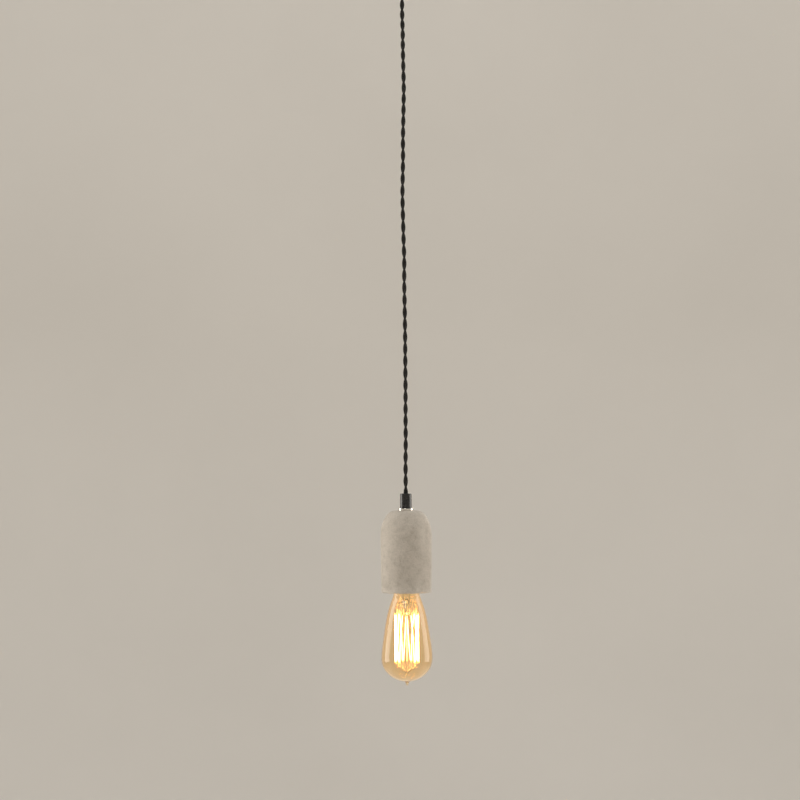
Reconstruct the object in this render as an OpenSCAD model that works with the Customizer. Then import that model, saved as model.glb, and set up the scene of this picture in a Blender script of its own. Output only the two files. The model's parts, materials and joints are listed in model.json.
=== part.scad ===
// Pendant ceiling light: ceiling fitting, twisted textile cord, cast concrete cup
// with an E27 lampholder, and a squirrel-cage filament bulb.
// Origin: centre of the face that meets the ceiling. +Z is up, so everything hangs below z = 0.
// Millimetres throughout.

/* [Ceiling fitting] */
// Outside diameter of the canopy
canopy_d = 100; // [96:1:120]
// Height of the canopy wall
canopy_h = 36; // [34:1:44]
// Wall thickness of the canopy
canopy_t = 1.5; // [1.2:0.1:2]
// Hole-to-hole distance of the two fixing slots in the ceiling bracket
slot_spacing = 60; // [54:1:64]
// Length of each fixing slot, end to end
slot_len = 12; // [9:1:14]
// Width of each fixing slot
slot_w = 4.5; // [4.2:0.1:5.5]
// Width of the bracket strap
strap_w = 20; // [18:1:24]
// Thickness of the bracket strap
strap_t = 1.5; // [1.2:0.1:2]

/* [Cord and grips] */
// Free length of cord between the two grips
cord_len = 640; // [600:10:700]
// Overall diameter of the twisted pair
cord_d = 5.6; // [5.2:0.1:5.8]
// Outside diameter of a cord grip
grip_d = 14.5; // [14:0.1:16]
// Height of a cord grip
grip_h = 18.5; // [17:0.5:22]
// Diameter of the flange washer
washer_d = 19; // [17:0.5:22]
// Thickness of the flange washer
washer_t = 3; // [2:0.5:4]

/* [Concrete cup] */
// Largest diameter of the cup
cup_d = 64; // [62:0.5:70]
// Diameter at the rim
cup_rim_d = 62.8; // [61:0.1:66]
// Height of the cup
cup_h = 102.5; // [100:0.5:110]
// Diameter of the flat top of the cup
cup_top_d = 27.6; // [22:0.2:32]
// Height of the rounded shoulder
cup_shoulder_h = 31.4; // [24:0.2:36]
// Inside diameter of the cup
cup_bore_d = 48; // [47:0.5:50]
// Thickness of the cup's roof
cup_roof_t = 11.5; // [9:0.5:14]

/* [Lampholder] */
// Outside diameter of the lampholder
holder_d = 39; // [38:0.2:39]
// Radial clearance between the two screw threads
thread_gap = 0.325; // [0.25:0.025:0.35]

/* [Bulb] */
// Largest diameter of the glass
bulb_d = 64.3; // [60:0.1:66]
// Visible length of the glass below the cup's rim, without the pip
bulb_drop = 112; // [108:0.5:114]
// Thickness of the glass
glass_t = 0.8; // [0.6:0.1:1]
// Diameter of the filament cage
cage_d = 30; // [26:0.5:32]
// Number of filament loops
cage_n = 8; // [7:1:10]
// Thickness of the filament coil
filament_d = 0.9; // [0.6:0.1:1]

/* [Hidden] */
$fn = 48;

e27_pitch = 3.629;          // seven threads to the inch
e27_major_r = 13.1;         // crest radius of the bulb's cap
e27_minor_r = 12.15;        // root radius of the bulb's cap
sheet_t = 0.32;             // thickness of the rolled brass shells
m10_r = 5.0;
rim_gap = 0.5;              // paint clearance between canopy and ceiling

// Levels, from the ceiling down
z_canopy = -(rim_gap + canopy_h);       // underside of the canopy
z_uwash = z_canopy - washer_t;          // underside of the upper washer
z_exit = z_uwash - grip_h;              // the cord leaves the upper grip
z_enter = z_exit - cord_len;            // the cord enters the lower grip
z_lgrip = z_enter - grip_h;             // foot of the lower grip
z_cup = z_lgrip - washer_t;             // top of the cup
z_rim = z_cup - cup_h;                  // rim of the cup
z_swing_x = z_exit - 14;                // first bend of the cord
z_swing_y = z_exit - 47;                // second bend, at right angles
z_twist = z_enter + 38;                 // where the cord's own twist is taken up
z_tilt = z_enter + 8;                   // bend above the lower grip
bend_gap = 0.8;                         // half the gap left at a bend

// Levels inside the cup, from the rim up
z_skirt = z_rim + 7;                    // mouth of the lampholder
z_flare = z_rim + 5.5;                  // lower edge of the bulb's cap
z_tip = z_rim + 32;                     // tip of the bulb's cap, on the centre contact
z_insert = z_rim + 35;                  // lower face of the ceramic insert
z_insert_top = z_insert + 11;
z_joint = z_insert + 9;                 // skirt and cap meet here
z_holder_top = z_insert + 35;           // top of the lampholder's cap
z_roof = z_cup - cup_roof_t;            // inside of the cup's roof

// ---------- helpers ----------

function mix(a, b, t) = a * (1 - t) + b * t;
function unit(v) = v / norm(v);

// Catmull-Rom curve through points p, k pieces a span
function spline(p, k) = let (n = len(p)) concat(
  [for (i = [0 : n - 2]) for (j = [0 : k - 1])
    let (t = j / k,
         a = p[max(i - 1, 0)], b = p[i], c = p[i + 1], d = p[min(i + 2, n - 1)])
    0.5 * ((2 * b) + (c - a) * t + (2 * a - 5 * b + 4 * c - d) * t * t
           + (3 * b - a - 3 * c + d) * t * t * t)],
  [p[n - 1]]);

// Round bar of radius r along points p
module sweep(p, r, n = 8, ref = [0, 1, 0]) {
  m = len(p);
  tangent = [for (i = [0 : m - 1]) unit(p[min(i + 1, m - 1)] - p[max(i - 1, 0)])];
  pts = [for (i = [0 : m - 1])
    let (u = unit(cross(ref, tangent[i])), v = cross(tangent[i], u))
    for (k = [0 : n - 1]) let (a = 360 * (k + 0.5) / n)
    p[i] + r * (cos(a) * u + sin(a) * v)];
  sides = [for (i = [0 : m - 2]) for (k = [0 : n - 1])
    let (a = i * n + k, b = i * n + (k + 1) % n) each [[a, a + n, b + n], [a, b + n, b]]];
  polyhedron(pts, concat(sides,
    [[for (k = [0 : n - 1]) k]],
    [[for (k = [0 : n - 1]) (m - 1) * n + n - 1 - k]]), convexity = 4);
}

// Rolled-thread shell: rows is the closed outline [radius, z, thread depth] seen on the
// +X side, from the inner foot up and back down the outside; crests follow a right-hand helix
module rolled(rows, n = 24) {
  m = len(rows);
  pts = [for (i = [0 : m - 1]) for (k = [0 : n - 1])
    let (a = 360 * k / n, q = rows[i],
         r = q[0] + q[2] * cos(360 * q[1] / e27_pitch - a))
    [r * cos(a), r * sin(a), q[1]]];
  faces = [for (i = [0 : m - 1]) for (k = [0 : n - 1])
    let (a = i * n + k, b = i * n + (k + 1) % n,
         c = ((i + 1) % m) * n + (k + 1) % n, d = ((i + 1) % m) * n + k)
    each [[a, b, c], [a, c, d]]];
  polyhedron(pts, faces, convexity = 6);
}

module ring(r_out, r_in, h) {
  rotate_extrude() translate([r_in, 0]) square([r_out - r_in, h]);
}

module bar(a, b, r) {
  v = b - a;
  l = norm(v);
  translate(a) rotate([0, acos(v[2] / l), atan2(v[1], v[0])]) cylinder(r = r, h = l, $fn = 16);
}

module hex_nut(af, h, r) {
  difference() {
    cylinder(d = af / cos(30), h = h, $fn = 6);
    translate([0, 0, -1]) cylinder(r = r, h = h + 2);
  }
}

// ---------- ceiling fitting ----------

module ceiling_bracket() {
  reach = canopy_d / 2 - 3.5;
  color("silver") difference() {
    union() {
      translate([-reach, -strap_w / 2, -strap_t]) cube([2 * reach, strap_w, strap_t]);
      for (s = [-1, 1])
        translate([s > 0 ? reach - strap_t : -reach, -strap_w / 2 + 2, -17])
          cube([strap_t, strap_w - 4, 17]);
    }
    for (s = [-1, 1]) {
      hull_free_slot(s * slot_spacing / 2);
      translate([0, 0, -10]) rotate([0, 90 * s, 0])
        translate([0, 0, reach - 5]) cylinder(r = 1.5, h = 10);
    }
    translate([12, 0, -5]) cylinder(r = 4, h = 10);
    translate([-12, 0, -5]) cylinder(r = 1.6, h = 10);
  }
}

module hull_free_slot(x) {
  for (s = [-1, 1])
    translate([x + s * (slot_len - slot_w) / 2, 0, -5]) cylinder(d = slot_w, h = 10);
  translate([x - (slot_len - slot_w) / 2, -slot_w / 2, -5])
    cube([slot_len - slot_w, slot_w, 10]);
}

module canopy() {
  r = canopy_d / 2;
  f = 5;   // rounded lower edge
  color([0.05, 0.05, 0.05]) difference() {
    rotate_extrude($fn = 96) polygon(concat(
      [[5.2, z_canopy], [r - f, z_canopy]],
      [for (a = [-75 : 15 : 0]) [r - f + f * cos(a), z_canopy + f + f * sin(a)]],
      [[r, -rim_gap], [r - canopy_t, -rim_gap]],
      [for (a = [0 : -15 : -75]) [r - f + (f - canopy_t) * cos(a), z_canopy + f + (f - canopy_t) * sin(a)]],
      [[r - f, z_canopy + canopy_t], [5.2, z_canopy + canopy_t]]));
    for (s = [-1, 1]) translate([0, 0, -10]) rotate([0, 90 * s, 0])
      translate([0, 0, r - 6]) cylinder(r = 1.7, h = 12);
  }
}

module canopy_screws() {
  r = canopy_d / 2;
  color("silver") for (s = [0, 180]) rotate([0, 0, s]) translate([0, 0, -10])
    rotate([0, 90, 0]) difference() {
      rotate_extrude() polygon([[0, r - 7], [1.1, r - 7], [1.45, r - 6.6], [1.45, r + 0.1],
        [3, r + 0.1], [3, r + 1.4], [2.3, r + 2.1], [0, r + 2.3]]);
      translate([-4, -0.4, r + 1.3]) cube([8, 0.8, 2]);
    }
}

module washer(z) {
  rotate_extrude() polygon([[5.1, z], [washer_d / 2 - 0.5, z], [washer_d / 2, z + 0.5],
    [washer_d / 2, z + washer_t - 0.5], [washer_d / 2 - 0.5, z + washer_t], [5.1, z + washer_t]]);
}

module upper_washer() { color([0.75, 0.74, 0.72]) washer(z_uwash); }
module flange_washer() { color([0.85, 0.84, 0.82]) washer(z_cup); }

// Cord grip with its cord end at z = 0 and its threaded foot at z = -grip_h
module grip() {
  g = grip_d / 2;
  difference() {
    rotate_extrude() polygon([
      [3.1, 0], [g - 0.7, 0], [g, -0.7], [g, -grip_h + 3], [g + 0.15, -grip_h + 2.6],
      [g + 0.15, -grip_h + 0.3], [g - 0.1, -grip_h],
      [m10_r + 0.02, -grip_h], [m10_r + 0.02, -grip_h + 9.5], [3.1, -grip_h + 9.5]]);
    translate([0, 0, -4.6]) rotate([-90, 0, 0]) cylinder(r = 1.5, h = g + 2);
  }
}

module grip_screw() {
  translate([0, 0, -4.6]) rotate([-90, 0, 0]) difference() {
    rotate_extrude() polygon([[0, 2.95], [0.9, 2.95], [1.45, 3.5], [1.45, 6.9], [0, 6.9]]);
    translate([0, 0, 5.6]) cylinder(d = 1.7, h = 2, $fn = 6);
  }
}

module upper_grip() { color([0.04, 0.04, 0.04]) translate([0, 0, z_exit]) mirror([0, 0, 1]) grip(); }
module lower_grip() { color([0.04, 0.04, 0.04]) translate([0, 0, z_enter]) grip(); }
module upper_grip_screw() { color("dimgray") translate([0, 0, z_exit]) mirror([0, 0, 1]) grip_screw(); }
module lower_grip_screw() { color("dimgray") translate([0, 0, z_enter]) grip_screw(); }

module nipple(z0, z1) {
  rotate_extrude() polygon([[3.6, z0], [m10_r - 0.5, z0], [m10_r, z0 + 0.5],
    [m10_r, z1 - 0.5], [m10_r - 0.5, z1], [3.6, z1]]);
}

module upper_nipple() { color("silver") nipple(z_uwash - 8.5, z_canopy + canopy_t + 5); }
module lamp_nipple() { color("silver") nipple(z_holder_top - 12, z_lgrip + 8.5); }
module upper_locknut() { color("silver") translate([0, 0, z_canopy + canopy_t]) hex_nut(14, 3, m10_r + 0.02); }
module lamp_locknut() { color("silver") translate([0, 0, z_roof - 3]) hex_nut(14, 3, m10_r + 0.02); }

// Two-pole screw terminal block, on the cord's cores beside the nipple
block = [26, 0, -20];
module terminal_block() {
  color([0.92, 0.92, 0.88]) translate(block) difference() {
    union() {
      for (s = [-1, 1]) translate([-9, s * 5 - 4, -6]) cube([18, 8, 11]);
      translate([-3, -2, -6]) cube([6, 4, 4]);
    }
    for (s = [-1, 1]) {
      translate([-10, s * 5, 0]) rotate([0, 90, 0]) cylinder(r = 2.2, h = 20);
      for (x = [-5, 5]) translate([x, s * 5, 0]) cylinder(r = 1.9, h = 8);
    }
    cylinder(r = 1.2, h = 20, center = true);
  }
}

module terminal_block_clamps() {
  color([0.8, 0.62, 0.25]) translate(block) for (s = [-1, 1]) difference() {
    translate([-8, s * 5, 0]) rotate([0, 90, 0]) ring(2.15, 1.45, 16);
    for (x = [-5, 5]) translate([x, s * 5, 0]) cylinder(r = 1.35, h = 5);
  }
}

module terminal_block_screws() {
  color("silver") translate(block) for (s = [-1, 1]) for (x = [-5, 5]) translate([x, s * 5, 0])
    difference() {
      rotate_extrude() polygon([[0, 1.25], [1.3, 1.25], [1.3, 2.6], [1.75, 2.6], [1.75, 4.2], [0, 4.2]]);
      translate([-2, -0.25, 3.5]) cube([4, 0.5, 1]);
    }
}

// Two insulated cores from the cord's upper end to the terminal block
module supply_cores() {
  top = z_canopy + canopy_t + 6;
  for (s = [-1, 1]) color(s > 0 ? [0.36, 0.2, 0.1] : [0.1, 0.25, 0.6])
    sweep(spline([[0, s * 1.4, top + 0.5], [-1, s * 1.8, top + 4], [-6, s * 3, top + 8],
      [-16, s * 5, -14], [-14, s * 8, -8], [0, s * 8, -7], [11, s * 6, -13],
      [16, s * 5, -19], [17, s * 5, block[2]], [19.5, s * 5, block[2]]], 3), 1.1, 8, [0, 1, 0.02]);
}

// ---------- cord ----------

// Route of the free cord: sideways offsets and the distance below the upper grip,
// for 640 mm of cord. It is plumb at every bend.
route = [
  [0, 0, 0], [0, 0, 14], [-0.2, 0, 30], [0, 0, 47], [0.4, 0.2, 60], [0.4, 0.6, 76],
  [0.6, 0.8, 92], [1.0, 0.4, 116], [1.2, 0, 136], [0.6, -0.4, 162], [-0.2, -0.8, 192],
  [-0.4, -0.6, 222], [-1.0, 0, 246], [-1.4, 0.4, 266], [-1.0, 0.8, 292], [-0.4, 0.6, 322],
  [0.2, 0, 346], [0, -0.6, 376], [0.4, -0.8, 412], [0.6, -0.2, 446], [0.6, 0.4, 486],
  [0.6, 0.6, 512], [0.4, 0.2, 542], [0.4, 0, 572], [0, 0, 602], [0, 0, 640]];

function place(p) = [p[0], p[1], z_exit - p[2] * cord_len / 640];
// the route between two levels, with both ends put exactly on their levels
function stretch(za, zb) = let (all = spline([for (p = route) place(p)], 2)) concat(
  [at_level(all, za)], [for (p = all) if (p[2] < za - 4 && p[2] > zb + 4) p], [at_level(all, zb)]);
function at_level(all, z) = let (i = [for (k = [0 : len(all) - 2])
    if (all[k][2] >= z && all[k + 1][2] <= z) k][0],
    t = (all[i][2] - z) / max(all[i][2] - all[i + 1][2], 0.001))
  [mix(all[i][0], all[i + 1][0], t), mix(all[i][1], all[i + 1][1], t), z];

module cord_upper() {
  color([0.03, 0.03, 0.03])
    sweep(concat([[0, 0, z_canopy + canopy_t + 6], [0, 0, z_uwash - 4], [0, 0, z_exit + 0.01]],
      [[0, 0, z_swing_x + bend_gap]]), cord_d / 2);
}
module cord_swing_link() {
  color([0.03, 0.03, 0.03]) sweep(stretch(z_swing_x - bend_gap, z_swing_y + bend_gap), cord_d / 2);
}
module cord_main() {
  color([0.03, 0.03, 0.03]) sweep(stretch(z_swing_y - bend_gap, z_twist + 0.2), cord_d / 2);
}
module cord_end_link() {
  color([0.03, 0.03, 0.03])
    sweep([for (t = [0, 0.5, 1]) [0, 0, mix(z_twist - 0.2, z_tilt + bend_gap, t)]], cord_d / 2);
}
module cord_lower() {
  color([0.03, 0.03, 0.03])
    sweep([for (t = [0 : 0.2 : 1]) [0, 0, mix(z_tilt - bend_gap, z_holder_top - 13, t)]], cord_d / 2);
}

// ---------- cup ----------

module concrete_cup() {
  r = cup_d / 2;
  rt = cup_top_d / 2;
  rb = cup_rim_d / 2;
  ri = cup_bore_d / 2;
  color([0.66, 0.62, 0.56]) rotate_extrude($fn = 96) polygon(concat(
    [[5.3, z_cup]],
    [for (a = [90 : -6 : 0]) [rt + (r - rt) * cos(a), z_cup - cup_shoulder_h * (1 - sin(a))]],
    [for (a = [0 : -15 : -90]) [rb - 2 + 2 * cos(a), z_rim + 2 + 2 * sin(a)]],
    [for (a = [-90 : -30 : -180]) [ri + 1 + cos(a), z_rim + 1 + sin(a)]],
    [for (a = [0 : 15 : 90]) [ri - 9 + 9 * cos(a), z_roof - 9 + 9 * sin(a)]],
    [[5.3, z_roof]]));
}

// ---------- lampholder ----------

module holder_cap() {
  r = holder_d / 2;
  zt = z_holder_top;
  color([0.06, 0.05, 0.05]) rotate_extrude() polygon([
    [m10_r + 0.03, zt], [8, zt], [8.6, zt - 0.6], [8.6, zt - 6], [13, zt - 8], [16.8, zt - 11],
    [18.8, zt - 15], [r, zt - 19], [r, z_joint],
    [r - 1.1, z_joint], [r - 1.1, z_joint + 4], [r - 2.4, z_joint + 4],
    [r - 2.4, zt - 19], [16.4, zt - 15.8], [14.8, zt - 13], [11.8, zt - 10.6],
    [8, zt - 9], [m10_r + 0.03, zt - 9]]);
}

module holder_skirt() {
  r = holder_d / 2;
  color([0.06, 0.05, 0.05]) rotate_extrude() polygon([
    [14.7, z_skirt + 0.5], [15.2, z_skirt], [r - 0.8, z_skirt], [r, z_skirt + 0.8],
    [r, z_joint], [r - 1.15, z_joint], [r - 1.15, z_joint + 3.8], [r - 2.2, z_joint + 3.8],
    [r - 2.2, z_insert - 0.05], [15, z_insert - 0.05], [15, z_insert - 2], [r - 2.2, z_insert - 3],
    [r - 2.2, z_skirt + 3.4], [14.7, z_skirt + 2.4]]);
}

module holder_insert() {
  color([0.93, 0.92, 0.88]) difference() {
    rotate_extrude() polygon([[0, z_insert], [16.2, z_insert], [17, z_insert + 0.8],
      [17, z_insert_top - 1], [16, z_insert_top], [0, z_insert_top]]);
    translate([-11, 0, z_insert - 1]) cylinder(r = 1.05, h = 14);
    translate([8.6, 0, z_insert - 1]) cylinder(r = 0.95, h = 14);
    for (s = [-1, 1]) translate([0, s * 11, z_insert_top - 4]) cylinder(r = 1.6, h = 5);
  }
}

thread_mid = (e27_major_r + e27_minor_r) / 2;
thread_amp = (e27_major_r - e27_minor_r) / 2;
thread_step = e27_pitch / 6;
// A row of a rolled thread. Where the thread fades out at an end it stays clear of the
// other part's crests: outside them (side 1) or inside them (side -1).
function fading(r, z, end, side) = end ? [r + side * (thread_amp - 0.2), z, 0.2] : [r, z, thread_amp];

module holder_shell() {
  rin = thread_mid + thread_gap;
  z0 = z_skirt + 3.6;
  rows = floor((z_insert - 2.5 - z0) / thread_step);
  zt = z_insert;
  color([0.85, 0.72, 0.38]) rolled(concat(
    [[rin + 0.3, z0, 0]],
    [for (i = [1 : rows]) fading(rin, z0 + i * thread_step, i < 2 || i > rows - 1, 1)],
    [[rin + 0.3, zt - 1, 0], [rin - 0.4, zt - 0.45, 0], [10, zt - 0.4, 0], [10, zt, 0], [rin, zt, 0],
     [rin + 0.3 + sheet_t, zt - 0.9, 0]],
    [for (i = [rows : -1 : 1]) fading(rin + sheet_t, z0 + i * thread_step, i < 2 || i > rows - 1, 1)],
    [[rin + 0.3 + sheet_t, z0, 0]]));
}

module side_contact() {
  color([0.8, 0.62, 0.25]) translate([-11, 0, z_insert + 0.01]) cylinder(r = 1.0, h = 11);
}

module contact_rivet() {
  color([0.8, 0.62, 0.25]) translate([8.6, 0, 0]) rotate_extrude()
    polygon([[0, z_insert - 0.3], [1.2, z_insert - 0.3], [1.2, z_insert], [0.9, z_insert],
      [0.9, z_insert_top + 0.01], [0, z_insert_top + 0.01]]);
}

module holder_terminals() {
  color([0.8, 0.62, 0.25]) for (x = [-11, 11]) translate([x, 0, z_insert_top + 0.02]) difference() {
    translate([x > 0 ? -5 : -2.5, -3, 0]) cube([7.5, 6, 4.5]);
    translate([0, -5, 2.2]) rotate([-90, 0, 0]) cylinder(r = 1.3, h = 10);
    translate([0, 0, 2]) cylinder(r = 1.25, h = 4);
  }
}

module holder_terminal_screws() {
  color("silver") for (x = [-11, 11]) translate([x, 0, z_insert_top]) difference() {
    rotate_extrude() polygon([[0, 3.3], [1.2, 3.3], [1.2, 4.9], [2.2, 4.9], [2.2, 6.2], [0, 6.2]]);
    translate([-3, -0.3, 5.5]) cube([6, 0.6, 1]);
  }
}

// Two insulated cores from the foot of the nipple to the terminals
module lamp_cores() {
  for (s = [-1, 1]) color(s > 0 ? [0.36, 0.2, 0.1] : [0.1, 0.25, 0.6])
    sweep(spline([[s * 1.4, 0, z_holder_top - 13.2], [s * 2, -0.5, z_holder_top - 15.5],
      [s * 5, -3, z_insert_top + 8.6], [s * 9, -7, z_insert_top + 6],
      [s * 11, -8.5, z_insert_top + 3.4], [s * 11, -7, z_insert_top + 2.3],
      [s * 11, -3.2, z_insert_top + 2.2]], 3), 1.1, 8, [1, 0.02, 0.3]);
}

// Sprung tongue that meets the tip of the bulb's cap
module centre_contact() {
  y0 = 2.8;
  color([0.8, 0.62, 0.25]) translate([0, y0, 0]) rotate([90, 0, 0]) linear_extrude(2 * y0)
    polygon([[8.6, z_insert - 0.5], [8.6, z_insert - 0.95], [6.4, z_insert - 1.0],
      [2.5, z_tip + 0.25], [0, z_tip], [-2, z_tip + 0.3], [-3.4, z_tip + 0.9],
      [-3.2, z_tip + 1.3], [-1.9, z_tip + 0.75], [0, z_tip + 0.45], [2.3, z_tip + 0.7],
      [6.2, z_insert - 0.5]]);
}

// ---------- bulb ----------

module cap_insulator() {
  color([0.05, 0.05, 0.06]) rotate_extrude() polygon([
    [4.2, z_tip - 1.2], [5.4, z_tip - 1.2], [6.2, z_tip - 1.6], [9.3, z_tip - 4.2],
    [9.3, z_tip - 6.0], [4.2, z_tip - 6.0]]);
}

module bulb_cap() {
  zt = z_tip - 4.6;
  z1 = z_flare + 4.6;
  rows = floor((zt - 1.6 - z1) / thread_step);
  color([0.82, 0.7, 0.4]) rolled(concat(
    [[13.55, z_flare, 0], [13.3, z_flare + 2.2, 0], [thread_mid + 0.1 - sheet_t, z_flare + 3.8, 0]],
    [for (i = [0 : rows]) fading(thread_mid - sheet_t, z1 + i * thread_step, i > rows - 1, -1)],
    [[12.1 - sheet_t, zt - 0.7, 0], [11.4, zt - sheet_t, 0], [9.5, zt - sheet_t, 0], [9.5, zt, 0], [11.6, zt, 0],
     [12.1, zt - 0.6, 0]],
    [for (i = [rows : -1 : 0]) fading(thread_mid, z1 + i * thread_step, i > rows - 1, -1)],
    [[thread_mid + 0.1, z_flare + 3.9, 0], [13.6, z_flare + 2.4, 0], [13.87, z_flare, 0]]));
}

module cap_contact() {
  color([0.7, 0.7, 0.68]) rotate_extrude() polygon([
    [0, z_tip], [1.5, z_tip - 0.05], [3.4, z_tip - 0.4], [4.9, z_tip - 1.0], [4.9, z_tip - 1.15],
    [4.1, z_tip - 1.15], [4.1, z_tip - 6.2], [0, z_tip - 6.2]]);
}

// Outside radius of the glass at distance d below the cup's rim
profile = [[-19, 11.2], [-12, 11.3], [-7, 11.6], [-5.6, 12.8], [-4, 15.0], [-2, 16.1], [0, 16.35],
  [3, 16.5], [6, 17.3], [10, 18.8], [15, 20.6], [20, 22.3], [30, 24.9], [40, 26.8],
  [50, 28.4], [60, 29.9], [70, 31.3], [78, 32.0], [83, 32.15], [88, 31.7], [93, 30.2],
  [98, 27.5], [103, 23.2], [107, 17.9], [110, 11.5], [111.6, 5.5]];
glass_out = spline(profile, 2);
function radial(p) = p[1] * (p[0] > 20 ? bulb_d / 64.3 : 1);
function glass_z(d) = z_rim - (d > 0 ? d * bulb_drop / 112 : d);

module bulb_glass() {
  n = len(glass_out);
  outer = [for (p = glass_out) [radial(p), glass_z(p[0])]];
  inner = [for (i = [n - 1 : -1 : 0])
    let (a = outer[max(i - 1, 0)], b = outer[min(i + 1, n - 1)], t = unit(b - a))
    outer[i] + glass_t * [t[1], -t[0]]];
  pip = [[3.4, glass_z(112.2)], [2.4, glass_z(113)], [2.1, glass_z(114.2)], [1.7, glass_z(115.6)], [0.9, glass_z(116.8)],
    [0, glass_z(117)]];
  color([0.95, 0.75, 0.4, 0.5]) rotate_extrude($fn = 96) polygon(concat(
    outer, pip, [[0, glass_z(111.4)]], inner));
}

// Flared stem with its pinch and the tube below it
module bulb_stem() {
  color([0.8, 0.85, 0.85, 0.6]) {
    difference() {
      union() {
        rotate_extrude() polygon([[10.2, glass_z(-18.6)], [9.4, glass_z(-16)], [6.8, glass_z(-10)],
          [5.4, glass_z(-4)], [5.2, glass_z(1)], [4.2, glass_z(4)], [3.15, glass_z(7)], [3.15, glass_z(11.5)],
          [3.9, glass_z(12.6)], [3.9, glass_z(14.4)], [3.15, glass_z(15.5)], [3.15, glass_z(24)],
          [2.3, glass_z(24)], [2.3, glass_z(8.5)], [0, glass_z(8.5)], [0, glass_z(2)], [4.1, glass_z(0)],
          [4.3, glass_z(-4)], [5.8, glass_z(-10.4)], [8.6, glass_z(-17)], [9.2, glass_z(-18.6)]]);
        translate([-5.6, -2.4, glass_z(10)]) cube([11.2, 4.8, 10]);
      }
      for (s = [-1, 1]) translate([s * 3.9, 0, glass_z(11)]) cylinder(r = 0.36, h = 14);
    }
  }
}

z_top_ring = glass_z(27);      // upper hooks of the cage
z_low_ring = glass_z(88);      // lower hooks of the cage
z_bead = glass_z(27.6);        // upper button
z_foot = glass_z(101);         // lower button

module centre_rod() {
  color([0.8, 0.85, 0.85, 0.6]) translate([0, 0, z_foot + 1.5])
    cylinder(r = 1.2, h = z_bead - 1.5 - z_foot - 1.5);
}
module upper_button() {
  color([0.8, 0.85, 0.85, 0.6]) difference() {
    translate([0, 0, z_bead]) sphere(r = 2.7);
    translate([0, 0, z_bead - 4]) cylinder(r = 1.2, h = 2.5);
    translate([0, 0, z_bead + 1.2]) cylinder(r = 4, h = 4);
  }
  color([0.8, 0.85, 0.85, 0.6]) translate([0, 0, z_bead + 1.1]) cylinder(r = 2.25, h = glass_z(23.5) - z_bead - 1.1);
}
module lower_button() {
  color([0.8, 0.85, 0.85, 0.6]) difference() {
    translate([0, 0, z_foot]) sphere(r = 2.4);
    translate([0, 0, z_foot + 1.5]) cylinder(r = 1.2, h = 2);
  }
}

// Point k of the cage: the filament runs from point 0 to point 2 * cage_n, up on the even
// points and down on the odd ones, and leaves a gap of two steps between its open ends
function hook(k, z, f = 1) = let (a = -90 + 360 * (k + 1) / (2 * cage_n + 2))
  [f * cage_d / 2 * cos(a), f * cage_d / 2 * sin(a), z];

// Two lead wires: up inside the stem, through the pinch, and out to the filament's open ends
module lead_wires() {
  color([0.55, 0.5, 0.45]) for (s = [1, -1]) let (e = hook(s > 0 ? 0 : 2 * cage_n, 0), x = s * 3.9)
    sweep(spline([[x, 0, glass_z(-2.6)], [x, 0, glass_z(4)], [x, 0, glass_z(10.4)],
      [x + s * 0.6, e[1] * 0.12, glass_z(13)], [x + s * 1.0, e[1] * 0.6, glass_z(16)],
      [e[0] + s * 0.2, e[1] * 0.94, glass_z(20)], [e[0], e[1], z_top_ring + 0.5]], 3), 0.32, 6, [1, 0.07, 0.02]);
}

// Wires that stand out of the stem's collar and hang the filament's upper loops
module upper_supports() {
  color([0.55, 0.5, 0.45]) for (k = [2 : 2 : 2 * cage_n - 2])
    sweep(spline([hook(k, glass_z(13.5), 0.17), hook(k, glass_z(12.6), 0.5),
      hook(k, glass_z(13.6), 0.82), hook(k, glass_z(17.5), 0.97), hook(k, z_top_ring + 0.7)], 2),
      0.25, 6, unit(cross([0, 0, 1], hook(k, 0))));
}

// Wires that stand out of the lower button and hold the filament's lower loops
module lower_supports() {
  color([0.55, 0.5, 0.45]) for (k = [1 : 2 : 2 * cage_n - 1])
    sweep(spline([hook(k, z_foot + 0.3, 0.13), hook(k, z_foot + 2.4, 0.35),
      hook(k, z_low_ring - 3, 0.85), hook(k, z_low_ring - 0.7)], 2),
      0.25, 6, unit(cross([0, 0, 1], hook(k, 0))));
}

// The filament at point k: a plain end, or a small round bend over the hook
function filament_bend(k) = let (s = k % 2 == 0 ? 1 : -1, p = hook(k, s > 0 ? z_top_ring : z_low_ring),
    t = 0.8 * unit(cross([0, 0, 1], [p[0], p[1], 0])), d = [0, 0, 0.8 * s])
  k == 0 || k == 2 * cage_n ? [p] : [p - t - d, p, p + t - d];

// One wire that zigzags round the cage, from one lead to the other
module filament() {
  color([1, 0.8, 0.4]) sweep([for (k = [0 : 2 * cage_n]) each filament_bend(k)],
    filament_d / 2, 6, [0.003, 0.002, 1]);
}

ceiling_bracket();
canopy();
canopy_screws();
upper_washer();
upper_grip();
upper_grip_screw();
upper_nipple();
upper_locknut();
terminal_block();
terminal_block_clamps();
terminal_block_screws();
supply_cores();
cord_upper();
cord_swing_link();
cord_main();
cord_end_link();
cord_lower();
lower_grip();
lower_grip_screw();
flange_washer();
lamp_nipple();
lamp_locknut();
concrete_cup();
holder_cap();
holder_skirt();
holder_insert();
holder_shell();
side_contact();
contact_rivet();
holder_terminals();
holder_terminal_screws();
lamp_cores();
centre_contact();
cap_insulator();
bulb_cap();
cap_contact();
bulb_glass();
bulb_stem();
centre_rod();
upper_button();
lower_button();
lead_wires();
upper_supports();
lower_supports();
filament();
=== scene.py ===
import json
import math

import bmesh
import bpy
import numpy as np
from mathutils import Matrix, Vector


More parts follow.
